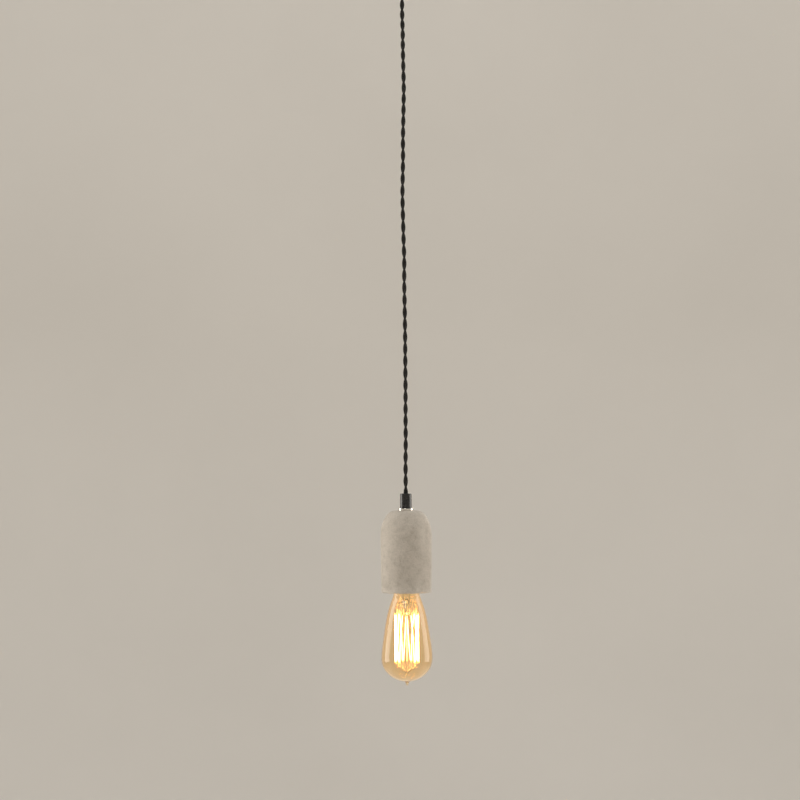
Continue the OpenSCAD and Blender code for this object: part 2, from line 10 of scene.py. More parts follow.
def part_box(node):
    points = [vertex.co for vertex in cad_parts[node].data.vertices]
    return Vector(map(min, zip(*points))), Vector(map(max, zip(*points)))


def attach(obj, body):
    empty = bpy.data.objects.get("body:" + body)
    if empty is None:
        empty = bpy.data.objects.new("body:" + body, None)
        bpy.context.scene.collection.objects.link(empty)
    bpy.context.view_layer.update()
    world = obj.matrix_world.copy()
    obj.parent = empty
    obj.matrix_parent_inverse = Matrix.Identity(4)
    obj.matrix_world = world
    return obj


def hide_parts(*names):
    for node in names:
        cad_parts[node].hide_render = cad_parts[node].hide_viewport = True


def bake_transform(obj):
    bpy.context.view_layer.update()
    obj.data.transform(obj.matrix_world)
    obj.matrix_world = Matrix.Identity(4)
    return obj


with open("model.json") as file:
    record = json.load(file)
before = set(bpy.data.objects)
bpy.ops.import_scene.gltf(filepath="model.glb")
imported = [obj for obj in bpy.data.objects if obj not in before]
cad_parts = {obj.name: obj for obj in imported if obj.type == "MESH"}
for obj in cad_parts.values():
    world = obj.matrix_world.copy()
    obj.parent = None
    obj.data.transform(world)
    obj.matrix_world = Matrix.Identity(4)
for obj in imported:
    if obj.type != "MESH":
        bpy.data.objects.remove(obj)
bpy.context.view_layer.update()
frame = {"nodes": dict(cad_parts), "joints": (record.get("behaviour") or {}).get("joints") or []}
NODES = frame["nodes"]
MM = 0.001
TAU = 2 * math.pi


def top(n):
    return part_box(n)[1].z / MM


def foot(n):
    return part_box(n)[0].z / MM


# Levels in millimetres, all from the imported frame
Z_CANOPY_TOP, Z_CANOPY = top("canopy"), foot("canopy")
Z_EXIT = foot("upper_grip")
Z_ENTER = top("lower_grip")
GRIP_H = top("lower_grip") - foot("lower_grip")
Z_CUP, Z_RIM = top("concrete_cup"), foot("concrete_cup")
Z_TIP = top("cap_contact")
R_CUP = (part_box("concrete_cup")[1].x) / MM
R_BULB = (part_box("bulb_glass")[1].x) / MM
Z_PIP = foot("bulb_glass")
R_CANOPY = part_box("canopy")[1].x / MM
Z_SKIRT = foot("holder_skirt")
Z_INSERT = foot("holder_insert")
Z_INSERT_TOP = top("holder_insert")
Z_HOLDER_TOP = top("holder_cap")
Z_FLARE = foot("bulb_cap")
Z_SWING_X, Z_SWING_Y, Z_TWIST, Z_TILT = (j["pos_m"][2] / MM for j in frame["joints"][:4])

# ------------------------------------------------------------------ camera

VIEW_D = 3.45
ROLL = math.radians(0.42)
cam = bpy.data.objects.new("camera", bpy.data.cameras.new("camera"))
bpy.context.scene.collection.objects.link(cam)
bpy.context.scene.camera = cam
cam.data.lens = 123.75
cam.data.sensor_width = 36
cam.data.clip_start, cam.data.clip_end = 0.05, 60
cam.data.dof.use_dof = False
cam.location = (-0.0064, -VIEW_D, -0.5807)
cam.rotation_mode = "QUATERNION"
look = Matrix(((1, 0, 0), (0, 0, -1), (0, 1, 0)))
cam.rotation_quaternion = (look @ Matrix.Rotation(-ROLL, 3, "Z")).to_quaternion()

# ------------------------------------------------------------------ mesh helpers


def mesh_object(name, co, quads=(), tris=(), uv=None, smooth=True, heal=False):
    """An object in metres from points in millimetres; uv is one pair for each point."""
    quads = np.asarray(quads, np.int32).reshape(-1, 4)
    tris = np.asarray(tris, np.int32).reshape(-1, 3)
    co = np.asarray(co, float).reshape(-1, 3) * MM
    me = bpy.data.meshes.new(name)
    me.vertices.add(len(co))
    me.vertices.foreach_set("co", co.astype(np.float32).ravel())
    index = np.concatenate([quads.ravel(), tris.ravel()])
    me.loops.add(len(index))
    me.loops.foreach_set("vertex_index", index)
    starts = np.concatenate([np.arange(len(quads)) * 4, quads.size + np.arange(len(tris)) * 3])
    me.polygons.add(len(starts))
    me.polygons.foreach_set("loop_start", starts.astype(np.int32))
    me.polygons.foreach_set("use_smooth", np.full(len(starts), smooth))
    if uv is not None:
        layer = me.uv_layers.new(name="UVMap")
        layer.data.foreach_set("uv", np.asarray(uv, np.float32)[index].ravel())
    me.update(calc_edges=True)
    me.validate()
    if heal:
        bm = bmesh.new()
        bm.from_mesh(me)
        bmesh.ops.remove_doubles(bm, verts=bm.verts, dist=2e-7)
        bmesh.ops.dissolve_degenerate(bm, edges=bm.edges, dist=1e-8)
        bmesh.ops.recalc_face_normals(bm, faces=bm.faces)
        bm.to_mesh(me)
        bm.free()
    ob = bpy.data.objects.new(name, me)
    bpy.context.scene.collection.objects.link(ob)
    return ob


def grid_faces(m, n, wrap_u=False, wrap_v=True, flip=False):
    """Quads of an m by n grid of points, row by row."""
    i = np.arange(m if wrap_u else m - 1)[:, None]
    j = np.arange(n if wrap_v else n - 1)[None, :]
    a, b = i * n + j, i * n + (j + 1) % n
    c, d = ((i + 1) % m) * n + (j + 1) % n, ((i + 1) % m) * n + j
    q = np.stack([a + 0 * d, b + 0 * c, c + 0 * b, d + 0 * a], -1).reshape(-1, 4)
    return q[:, ::-1] if flip else q


def rounded(points, seg=4):
    """A closed outline of (r, z, corner radius) with its corners rounded and held by support points."""
    out, n = [], len(points)
    P = [np.array(p[:2], float) for p in points]
    R = [p[2] if len(p) > 2 else 0 for p in points]
    for i in range(n):
        a, c, b = P[i - 1], P[i], P[(i + 1) % n]
        la, lb = np.linalg.norm(a - c), np.linalg.norm(b - c)
        r = R[i]
        if r <= 0 or la < 1e-6 or lb < 1e-6:
            out.append(c)
            continue
        ua, ub = (a - c) / la, (b - c) / lb
        half = math.acos(max(-1, min(1, float(ua @ ub)))) / 2
        cut = min(r / max(math.tan(half), 1e-3), la * 0.48, lb * 0.48)
        s, e = c + ua * cut, c + ub * cut
        extra = min(0.25, cut * 0.5)
        if la > 2 * (cut + extra):
            out.append(c + ua * (cut + extra))
        for k in range(seg + 1):
            t = k / seg
            out.append((1 - t) ** 2 * s + 2 * t * (1 - t) * c + t * t * e)
        if lb > 2 * (cut + extra):
            out.append(c + ub * (cut + extra))
    return np.array(out)


def refine(outline, most=2.0, closed=True):
    """More points along an outline, so that none are further apart than most."""
    out, n = [], len(outline)
    for i in range(n if closed else n - 1):
        a, b = outline[i], outline[(i + 1) % n]
        k = max(1, int(math.ceil(np.linalg.norm(b - a) / most)))
        out += [a + (b - a) * t / k for t in range(k)]
    if not closed:
        out.append(outline[-1])
    return np.array(out)


def lathe(name, outline, n=128, shape=None, smooth=True, uv=True):
    """A closed solid of revolution. shape(co, angle) may move the points."""
    outline = np.asarray(outline, float)
    m = len(outline)
    a = np.arange(n) * TAU / n
    r, z = np.maximum(outline[:, 0], 0)[:, None], outline[:, 1][:, None]
    co = np.stack([r * np.cos(a), r * np.sin(a), z + 0 * a], -1)
    if shape is not None:
        co = shape(co, a)
    along = np.concatenate([[0], np.cumsum(np.linalg.norm(np.diff(outline, axis=0), axis=1))])
    uvs = np.stack(np.broadcast_arrays(a[None, :] / TAU, along[:, None] * MM), -1).reshape(-1, 2)
    return mesh_object(name, co.reshape(-1, 3), grid_faces(m, n, wrap_u=True), heal=True, uv=uvs if uv else None, smooth=smooth)


def frames(p, ref):
    """Tangent and two normals along points p; ref steers the first normal."""
    t = np.gradient(p, axis=0)
    t /= np.linalg.norm(t, axis=1)[:, None]
    ref = np.broadcast_to(np.asarray(ref, float), p.shape)
    u = ref - (ref * t).sum(1)[:, None] * t
    u /= np.linalg.norm(u, axis=1)[:, None]
    return t, u, np.cross(t, u)


def transported(p):
    """Normals along points p that turn as little as they can."""
    t = np.gradient(p, axis=0)
    t /= np.maximum(np.linalg.norm(t, axis=1), 1e-9)[:, None]
    u = np.zeros_like(p)
    v = np.cross(t[0], [0.31, 0.17, 0.93])
    u[0] = v / np.linalg.norm(v)
    for i in range(1, len(p)):
        v = u[i - 1] - (u[i - 1] @ t[i]) * t[i]
        u[i] = v / max(np.linalg.norm(v), 1e-9)
    return t, u, np.cross(t, u)


def tube(name, p, r, n=12, ref=None, caps=True, uv=True, bulge=None):
    """A round bar along points p in millimetres, with domed ends."""
    p = np.asarray(p, float)
    t, u, v = transported(p) if ref is None else frames(p, ref)
    r = np.broadcast_to(np.asarray(r, float), (len(p),)).copy()
    if caps:
        k = np.array([1.0, 0.72, 0.32])
        head = [p[0] - t[0] * r[0] * x for x in k]
        tail = [p[-1] + t[-1] * r[-1] * x for x in k[::-1]]
        p = np.concatenate([head, p, tail])
        size = [1e-5, math.sqrt(1 - 0.72**2), math.sqrt(1 - 0.32**2)]
        r = np.concatenate([[r[0] * s for s in size], r, [r[-1] * s for s in size[::-1]]])
        u = np.concatenate([[u[0]] * 3, u, [u[-1]] * 3])
        v = np.concatenate([[v[0]] * 3, v, [v[-1]] * 3])
    a = np.arange(n) * TAU / n
    rr = r[:, None] * np.ones(n)[None, :]
    along = np.concatenate([[0], np.cumsum(np.linalg.norm(np.diff(p, axis=0), axis=1))])
    if bulge is not None:
        rr = rr * (1 + bulge(a[None, :], along[:, None]))
    co = p[:, None] + rr[..., None] * (np.cos(a)[None, :, None] * u[:, None] + np.sin(a)[None, :, None] * v[:, None])
    uvs = np.stack(np.broadcast_arrays(a[None, :] / TAU, along[:, None] * MM), -1).reshape(-1, 2)
    return mesh_object(name, co.reshape(-1, 3), grid_faces(len(p), n), heal=True, uv=uvs if uv else None)


def join(name, obs):
    """One mesh object from several, with their points as they are."""
    for o in obs:
        o.select_set(True)
    bpy.context.view_layer.objects.active = obs[0]
    for o in bpy.context.selected_objects:
        if o not in obs:
            o.select_set(False)
    bpy.ops.object.join()
    obs[0].name = name
    obs[0].data.name = name
    obs[0].select_set(False)
    return obs[0]


def catmull(p, k):
    """Points along a Catmull-Rom curve, k to a span, as the cord's own route is drawn."""
    p = np.asarray(p, float)
    out = []
    for i in range(len(p) - 1):
        a, b, c, d = p[max(i - 1, 0)], p[i], p[i + 1], p[min(i + 2, len(p) - 1)]
        for j in range(k):
            t = j / k
            out.append(0.5 * (2 * b + (c - a) * t + (2 * a - 5 * b + 4 * c - d) * t * t + (3 * b - a - 3 * c + d) * t**3))
    return np.array(out + [p[-1]])


def hashed(i, j, k, seed):
    h = (i * 374761393 + j * 668265263 + k * 2147483647 + seed * 974634777) & 0xFFFFFFFF
    h = ((h ^ (h >> 13)) * 1274126177) & 0xFFFFFFFF
    h = h ^ (h >> 16)
    return (h & 0xFFFFFF) / float(0xFFFFFF)


def noise(p, size, seed=0):
    """Smooth noise from -1 to 1 at points p, with features of that size."""
    q = np.asarray(p, float) / size + 1000.0
    i = np.floor(q).astype(np.int64)
    f = q - i
    f = f * f * (3 - 2 * f)
    out = 0
    for dx in (0, 1):
        for dy in (0, 1):
            for dz in (0, 1):
                w = (f[..., 0] if dx else 1 - f[..., 0]) * (f[..., 1] if dy else 1 - f[..., 1]) * (f[..., 2] if dz else 1 - f[..., 2])
                out = out + w * hashed(i[..., 0] + dx, i[..., 1] + dy, i[..., 2] + dz, seed)
    return out * 2 - 1


# ------------------------------------------------------------------ materials


class Mat:
    """A node material built round one Principled shader."""

    def __init__(self, name, **sockets):
        self.m = bpy.data.materials.new(name)
        self.m.use_nodes = True
        self.nt = self.m.node_tree
        self.nt.nodes.clear()
        self.out = self.nt.nodes.new("ShaderNodeOutputMaterial")
        self.p = self.nt.nodes.new("ShaderNodeBsdfPrincipled")
        self.nt.links.new(self.p.outputs[0], self.out.inputs[0])
        self.set(**sockets)

    def set(self, **sockets):
        for k, v in sockets.items():
            self.p.inputs[k.replace("_", " ")].default_value = v
        return self

    def node(self, kind, **props):
        n = self.nt.nodes.new(kind)
        for k, v in props.items():
            setattr(n, k, v)
        return n

    def link(self, a, b):
        self.nt.links.new(a, b)

    def coords(self, which="Object", scale=(1, 1, 1)):
        t = self.node("ShaderNodeTexCoord")
        m = self.node("ShaderNodeMapping")
        m.inputs["Scale"].default_value = scale
        self.link(t.outputs[which], m.inputs["Vector"])
        return m.outputs[0]

    def noise(self, vector, scale, detail=4, rough=0.55, distortion=0.0):
        n = self.node("ShaderNodeTexNoise")
        n.inputs["Scale"].default_value = scale
        n.inputs["Detail"].default_value = detail
        n.inputs["Roughness"].default_value = rough
        n.inputs["Distortion"].default_value = distortion
        self.link(vector, n.inputs["Vector"])
        return n.outputs["Fac"]

    def voronoi(self, vector, scale, feature="F1", randomness=1.0):
        n = self.node("ShaderNodeTexVoronoi", feature=feature)
        n.inputs["Scale"].default_value = scale
        n.inputs["Randomness"].default_value = randomness
        self.link(vector, n.inputs["Vector"])
        return n.outputs["Distance"]

    def ramp(self, fac, stops):
        n = self.node("ShaderNodeValToRGB")
        e = n.color_ramp.elements
        while len(e) < len(stops):
            e.new(0.5)
        for s, (pos, col) in zip(e, stops):
            s.position = pos
            s.color = (*col, 1) if len(col) == 3 else col
        self.link(fac, n.inputs[0])
        return n.outputs[0]

    def span(self, fac, a, b, c, d):
        n = self.node("ShaderNodeMapRange")
        for i, v in enumerate((a, b, c, d)):
            n.inputs[i + 1].default_value = v
        self.link(fac, n.inputs[0])
        return n.outputs[0]

    def math(self, op, a, b=None, c=None):
        n = self.node("ShaderNodeMath", operation=op)
        for i, v in enumerate((a, b, c)):
            if v is None:
                continue
            if isinstance(v, (int, float)):
                n.inputs[i].default_value = v
            else:
                self.link(v, n.inputs[i])
        return n.outputs[0]

    def mix(self, fac, a, b, blend="MIX"):
        n = self.node("ShaderNodeMix", data_type="RGBA", blend_type=blend)
        for i, v in ((0, fac), (6, a), (7, b)):
            if isinstance(v, (int, float)):
                n.inputs[i].default_value = v
            elif isinstance(v, tuple):
                n.inputs[i].default_value = (*v, 1)
            else:
                self.link(v, n.inputs[i])
        return n.outputs[2]

    def axis(self, vector, which):
        n = self.node("ShaderNodeSeparateXYZ")
        self.link(vector, n.inputs[0])
        return n.outputs[which]

    def bump(self, height, strength, distance, over=None):
        n = self.node("ShaderNodeBump")
        n.inputs["Strength"].default_value = strength
        n.inputs["Distance"].default_value = distance
        self.link(height, n.inputs["Height"])
        if over is not None:
            self.link(over, n.inputs["Normal"])
        self.link(n.outputs[0], self.p.inputs["Normal"])
        return n.outputs[0]

    def to(self, socket, name):
        self.link(socket, self.p.inputs[name])
        return self


def paint(obj, mat):
    """mat in every material slot of obj."""
    m = mat.m if isinstance(mat, Mat) else mat
    if not obj.material_slots:
        obj.data.materials.append(m)
    for s in obj.material_slots:
        s.material = m
    return obj


def concrete_mat():
    m = Mat("cast_concrete", Specular_IOR_Level=0.35)
    v = m.coords()
    wide = m.noise(v, 19, 4, 0.5, 0.5)
    mid = m.noise(v, 120, 5, 0.65)
    fine = m.noise(v, 900, 3, 0.6)
    base = m.ramp(wide, [(0.28, (0.425, 0.384, 0.333)), (0.47, (0.470, 0.427, 0.372)), (0.58, (0.490, 0.447, 0.391)), (0.78, (0.525, 0.483, 0.426))])
    speck = m.ramp(mid, [(0.33, (0.88, 0.875, 0.865)), (0.5, (1, 1, 1)), (0.68, (1.06, 1.055, 1.05))])
    col = m.mix(1.0, base, speck, "MULTIPLY")
    grit = m.ramp(fine, [(0.38, (0.86, 0.86, 0.86)), (0.5, (1, 1, 1)), (0.66, (1.07, 1.07, 1.06))])
    col = m.mix(1.0, col, grit, "MULTIPLY")
    # clouds that darken the concrete more towards the shoulder, and a pale scuffed rim
    z = m.axis(v, 2)
    height = m.span(z, Z_RIM * MM, Z_CUP * MM, 0, 1)
    cloud = m.noise(m.coords(scale=(1, 1, 0.35)), 42, 4, 0.6, 0.8)
    dark = m.math("MULTIPLY", m.span(height, 0.0, 1.0, 0.35, 0.9), m.span(cloud, 0.42, 0.68, 0, 1))
    col = m.mix(m.math("MULTIPLY", dark, 0.22), col, (0.31, 0.275, 0.235))
    pale = m.math("MULTIPLY", m.span(height, 0.0, 0.10, 1, 0), m.span(mid, 0.4, 0.62, 0, 1))
    col = m.mix(m.math("MULTIPLY", pale, 0.45), col, (0.60, 0.565, 0.52))
    # painted shade: the fine pinholes are coloured near black inside
    pores = m.voronoi(v, 430)
    pore = m.span(pores, 0.10, 0.20, 1, 0)
    some = m.span(m.noise(v, 170, 2), 0.50, 0.60, 0, 1)
    pore = m.math("MULTIPLY", pore, some)
    col = m.mix(m.math("MULTIPLY", pore, 0.7), col, (0.16, 0.145, 0.125))
    m.to(col, "Base Color")
    m.to(m.span(mid, 0.3, 0.7, 0.93, 0.74), "Roughness")
    relief = m.math("ADD", m.math("MULTIPLY", mid, 0.55), m.math("MULTIPLY", fine, 0.30))
    relief = m.math("SUBTRACT", relief, m.math("MULTIPLY", pore, 0.9))
    m.bump(relief, 0.55, 0.0005)
    return m


def textile_mat():
    """Braided sleeve: two families of yarn that go over and under each other."""
    m = Mat("black_braid", Specular_IOR_Level=0.22, Sheen_Weight=0.08, Sheen_Roughness=0.45, Sheen_Tint=(0.5, 0.47, 0.43, 1))
    uv = m.coords("UV")
    u, s = m.axis(uv, 0), m.axis(uv, 1)
    around = m.math("MULTIPLY", u, 8 * TAU / 2)
    down = m.math("MULTIPLY", s, 3150.0)
    a = m.math("ADD", around, down)
    b = m.math("SUBTRACT", around, down)
    ridge_a = m.math("ABSOLUTE", m.math("COSINE", a))
    ridge_b = m.math("ABSOLUTE", m.math("COSINE", b))
    turn = m.span(m.math("COSINE", m.math("ADD", a, b)), -0.35, 0.35, 0, 1)
    over = m.node("ShaderNodeMix", data_type="FLOAT")
    m.link(turn, over.inputs[0])
    m.link(ridge_a, over.inputs[2])
    m.link(ridge_b, over.inputs[3])
    ridge = over.outputs[0]
    hair = m.noise(m.coords("UV", (900, 5200, 1)), 1.0, 3, 0.7)
    v = m.coords()
    dust = m.noise(v, 260, 4, 0.6)
    # painted shade: the yarn colour is darker in the grooves between yarns and lighter on their crowns
    col = m.ramp(ridge, [(0.15, (0.0035, 0.0033, 0.0031)), (0.6, (0.0125, 0.0118, 0.011)), (0.95, (0.026, 0.0245, 0.0225))])
    col = m.mix(1.0, col, m.ramp(dust, [(0.35, (0.75, 0.75, 0.75)), (0.65, (1.35, 1.3, 1.25))]), "MULTIPLY")
    m.to(col, "Base Color")
    m.to(m.span(ridge, 0, 1, 0.92, 0.62), "Roughness")
    m.bump(m.math("ADD", m.math("MULTIPLY", ridge, 0.8), m.math("MULTIPLY", hair, 0.25)), 0.8, 0.00018)
    return m


def black_metal_mat():
    m = Mat("black_turned_metal", Metallic=0.0, Coat_Weight=0.22, Coat_Roughness=0.1, Specular_IOR_Level=0.45)
    v = m.coords()
    z = m.coords(scale=(0.05, 0.05, 1))
    lines = m.noise(z, 5200, 3, 0.6)
    wide = m.noise(v, 160, 4, 0.6)
    m.to(m.ramp(wide, [(0.3, (0.006, 0.006, 0.0062)), (0.7, (0.012, 0.0117, 0.0113))]), "Base Color")
    m.to(m.math("ADD", m.span(wide, 0.3, 0.7, 0.20, 0.30), m.math("MULTIPLY", lines, 0.06)), "Roughness")
    m.bump(lines, 0.10, 0.00005)
    return m


def moulded_mat(name, dark, light, rough=(0.36, 0.48), grain=2200, bump=0.10, coat=0.0):
    m = Mat(name, Coat_Weight=coat, Coat_Roughness=0.2)
    v = m.coords()
    wide = m.noise(v, 70, 4, 0.6)
    fine = m.noise(v, grain, 3, 0.6)
    m.to(m.ramp(wide, [(0.3, dark), (0.7, light)]), "Base Color")
    m.to(m.span(fine, 0.3, 0.7, *rough), "Roughness")
    m.bump(fine, bump, 0.00006)
    return m


def bakelite_mat():
    m = Mat("dark_bakelite", Coat_Weight=0.3, Coat_Roughness=0.1)
    v = m.coords()
    swirl = m.noise(v, 60, 6, 0.65, 2.2)
    m.to(m.ramp(swirl, [(0.32, (0.014, 0.009, 0.007)), (0.5, (0.026, 0.017, 0.013)), (0.7, (0.045, 0.027, 0.018))]), "Base Color")
    m.to(m.span(m.noise(v, 900, 3), 0.3, 0.7, 0.22, 0.36), "Roughness")
    m.bump(m.noise(v, 1400, 2), 0.05, 0.00005)
    return m


def metal_mat(name, dark, light, rough, brushed=(1, 1, 1), line=2600, bump=0.12, tarnish=None):
    m = Mat(name, Metallic=1.0)
    v = m.coords()
    lines = m.noise(m.coords(scale=brushed), line, 3, 0.6)
    wide = m.noise(v, 90, 5, 0.6)
    col = m.ramp(wide, [(0.3, dark), (0.7, light)])
    if tarnish is not None:
        spots = m.span(m.noise(v, 240, 5, 0.7), 0.54, 0.72, 0, 0.6)
        col = m.mix(spots, col, tarnish)
    m.to(col, "Base Color")
    m.to(m.math("ADD", m.span(wide, 0.3, 0.7, *rough), m.math("MULTIPLY", m.math("SUBTRACT", lines, 0.5), 0.12)), "Roughness")
    m.bump(lines, bump, 0.00004)
    return m


def porcelain_mat():
    m = Mat("technical_porcelain", Coat_Weight=0.5, Coat_Roughness=0.08, Subsurface_Weight=0.06)
    m.p.inputs["Subsurface Radius"].default_value = (0.002, 0.0016, 0.0012)
    v = m.coords()
    m.to(m.ramp(m.noise(v, 110, 4), [(0.3, (0.72, 0.70, 0.64)), (0.7, (0.84, 0.82, 0.76))]), "Base Color")
    m.to(m.span(m.noise(v, 800, 3), 0.3, 0.7, 0.22, 0.34), "Roughness")
    m.bump(m.noise(v, 500, 3), 0.08, 0.0001)
    return m


def glass_mat(name, tint_a, tint_b, rough=0.0, painted_glow=None, streak=26):
    """Drawn glass that lets lamplight through: its colour drifts a little over the surface, and it can carry a painted
    glow, a faint emission though the glass is no lamp.
    """
    m = Mat(name, Transmission_Weight=1.0, IOR=1.47, Roughness=rough, Specular_IOR_Level=0.36)
    v = m.coords()
    drift = m.noise(m.coords(scale=(1, 1, 0.4)), streak, 3, 0.5, 0.6)
    col = m.ramp(drift, [(0.3, tint_a), (0.7, tint_b)])
    m.to(col, "Base Color")
    m.bump(m.noise(v, 55, 2, 0.4), 0.05, 0.0004)
    # painted glow: a faint amber emission on the glass, stronger where it faces the viewer and towards the cap, stands
    # in for the filament's glare
    if painted_glow is not None:
        painted_glow_colour, strength = painted_glow
        near = m.span(m.axis(v, 2), Z_PIP * MM, Z_RIM * MM, 0.35, 1.0)
        edge = m.node("ShaderNodeLayerWeight")
        edge.inputs["Blend"].default_value = 0.45
        painted_halo = m.math("MULTIPLY", m.math("ADD", m.math("MULTIPLY", edge.outputs["Facing"], 0.85), 0.25), near)
        m.set(Emission_Color=(*painted_glow_colour, 1))
        m.to(m.math("MULTIPLY", painted_halo, strength), "Emission Strength")
    clear = m.node("ShaderNodeBsdfTransparent")
    m.link(m.mix(1.0, col, (0.96, 0.96, 0.96), "MULTIPLY"), clear.inputs[0])
    path = m.node("ShaderNodeLightPath")
    both = m.node("ShaderNodeMixShader")
    m.link(path.outputs["Is Shadow Ray"], both.inputs[0])
    m.link(m.p.outputs[0], both.inputs[1])
    m.link(clear.outputs[0], both.inputs[2])
    m.link(both.outputs[0], m.out.inputs[0])
    return m


def filament_mat(z_low, z_high):
    """Incandescent coil, a little cooler where each hook draws its heat away."""
    m = Mat("glowing_filament", Roughness=0.6)
    v = m.coords()
    z = m.axis(v, 2)
    down = m.span(z, z_low, z_low + 0.0045, 0.30, 1)
    up = m.span(z, z_high - 0.0045, z_high, 1, 0.30)
    hot = m.math("MULTIPLY", down, up)
    shiver = m.span(m.noise(v, 300, 3), 0.3, 0.7, 0.88, 1.1)
    m.to(m.ramp(hot, [(0.0, (0.20, 0.08, 0.02)), (1.0, (0.9, 0.7, 0.45))]), "Base Color")
    m.to(m.ramp(hot, [(0.25, (1.0, 0.34, 0.07)), (0.7, (1.0, 0.56, 0.20)), (1.0, (1.0, 0.64, 0.27))]), "Emission Color")
    m.to(m.math("MULTIPLY", m.math("MULTIPLY", hot, shiver), 34.0), "Emission Strength")
    return m


CONCRETE = concrete_mat()
TEXTILE = textile_mat()
BLACK_METAL = black_metal_mat()
CANOPY = moulded_mat("black_canopy", (0.011, 0.011, 0.0115), (0.020, 0.0195, 0.019), (0.46, 0.58), 1800, 0.12, 0.0)
BAKELITE = bakelite_mat()
POLISHED = metal_mat("polished_nickel", (0.70, 0.67, 0.61), (0.84, 0.81, 0.76), (0.07, 0.15), (1, 1, 0.04), 900, 0.05)
ZINC = metal_mat("zinc_plate", (0.48, 0.48, 0.47), (0.66, 0.66, 0.64), (0.28, 0.42), (1, 1, 1), 900, 0.2, (0.36, 0.36, 0.34))
STRAP = metal_mat("zinc_strap", (0.47, 0.47, 0.46), (0.64, 0.64, 0.62), (0.26, 0.40), (0.04, 1, 1), 2400, 0.2, (0.38, 0.37, 0.34))
DARK_STEEL = metal_mat("blackened_steel", (0.10, 0.10, 0.10), (0.20, 0.195, 0.19), (0.30, 0.42), (1, 1, 1), 1500, 0.15)
BRASS = metal_mat("plain_brass", (0.62, 0.44, 0.17), (0.76, 0.57, 0.26), (0.20, 0.34), (1, 1, 1), 1400, 0.12, (0.40, 0.25, 0.10))
CAP_BRASS = metal_mat("rolled_brass", (0.66, 0.55, 0.30), (0.80, 0.69, 0.44), (0.16, 0.28), (1, 1, 0.1), 1100, 0.08, (0.50, 0.38, 0.20))
SOLDER = metal_mat("solder", (0.48, 0.48, 0.47), (0.68, 0.68, 0.66), (0.28, 0.48), (1, 1, 1), 420, 0.4, (0.35, 0.35, 0.34))
WIRE = metal_mat("drawn_wire", (0.32, 0.28, 0.22), (0.50, 0.44, 0.35), (0.30, 0.42), (1, 1, 0.1), 1600, 0.1)
PORCELAIN = porcelain_mat()
VITRITE = moulded_mat("black_vitrite", (0.010, 0.010, 0.013), (0.022, 0.021, 0.026), (0.10, 0.2), 600, 0.08, 0.4)
NYLON = moulded_mat("natural_nylon", (0.66, 0.65, 0.59), (0.78, 0.77, 0.71), (0.34, 0.46), 1500, 0.1)
NYLON.set(Subsurface_Weight=0.12)
BROWN = moulded_mat("brown_insulation", (0.115, 0.052, 0.024), (0.165, 0.078, 0.038), (0.34, 0.48), 1700, 0.12)
BLUE = moulded_mat("blue_insulation", (0.030, 0.105, 0.30), (0.045, 0.145, 0.39), (0.34, 0.48), 1700, 0.12)
# the amber glass carries a faint painted glow of emission
AMBER = glass_mat("amber_glass", (0.985, 0.845, 0.61), (0.995, 0.885, 0.68), painted_glow=((1.0, 0.42, 0.09), 0.10))
CLEAR = glass_mat("lead_glass", (0.93, 0.955, 0.94), (0.97, 0.98, 0.97), streak=60)


def piece(obj, body, nodes, mat, cord=False):
    paint(obj, mat)
    for n in [nodes] if isinstance(nodes, str) else nodes:
        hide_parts(n)
    if body:
        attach(obj, body)
    return obj


# ------------------------------------------------------------------ the cord

# Sideways wander of the free cord, against the distance below the upper grip
ROUTE = [
    (0, 0, 0), (0, 0, 14), (-0.2, 0, 30), (0, 0, 47), (0.4, 0.2, 60), (0.4, 0.6, 76),
    (0.6, 0.8, 92), (1.0, 0.4, 116), (1.2, 0, 136), (0.6, -0.4, 162), (-0.2, -0.8, 192),
    (-0.4, -0.6, 222), (-1.0, 0, 246), (-1.4, 0.4, 266), (-1.0, 0.8, 292), (-0.4, 0.6, 322),
    (0.2, 0, 346), (0, -0.6, 376), (0.4, -0.8, 412), (0.6, -0.2, 446), (0.6, 0.4, 486),
    (0.6, 0.6, 512), (0.4, 0.2, 542), (0.4, 0, 572), (0, 0, 602), (0, 0, 640),
]
# Level of the cord against the number of half turns of its two strands
LAY = [(-20, -5.2), (-84.9, 0), (-147.7, 5), (-216.7, 10), (-288.2, 15), (-363.5, 20), (-440.1, 25), (-516.7, 30), (-592.0, 35), (-682.3, 41), (-800, 48.8)]
STRAND_R = 1.4
Z_CORD_TOP, Z_CORD_FOOT = Z_CANOPY + 7.5, Z_HOLDER_TOP - 13


def cord_paths():
    """Centre line and both strands on a fine set of levels, from the canopy to the lampholder."""
    z = np.arange(Z_CORD_TOP, Z_CORD_FOOT - 0.25, -0.5)
    k = catmull([(x, y, Z_EXIT - d * (Z_EXIT - Z_ENTER) / 640) for x, y, d in ROUTE], 24)
    order = np.argsort(k[:, 2])
    cx, cy = np.interp(z, k[order, 2], k[order, 0]), np.interp(z, k[order, 2], k[order, 1])
    lay = np.array(LAY)[::-1]
    fine = np.arange(z[-1] - 40, z[0] + 40, 0.5)
    turn = np.interp(fine, lay[:, 0], lay[:, 1])
    turn = np.convolve(np.pad(turn, 50, "edge"), np.hanning(101) / np.hanning(101).sum(), "valid")
    phi = -np.pi * np.interp(z, fine, turn)
    # the strands breathe a little, as a hand-twisted pair does
    r = STRAND_R * (1 + 0.018 * noise(np.stack([z, 0 * z, 0 * z], 1), 19, 5))
    c = np.stack([cx, cy, z], 1)
    side = np.stack([np.cos(phi), np.sin(phi), 0 * phi], 1)
    return c, c + r[:, None] * side, c - r[:, None] * side, side


C_LINE, STRAND_A, STRAND_B, C_SIDE = cord_paths()


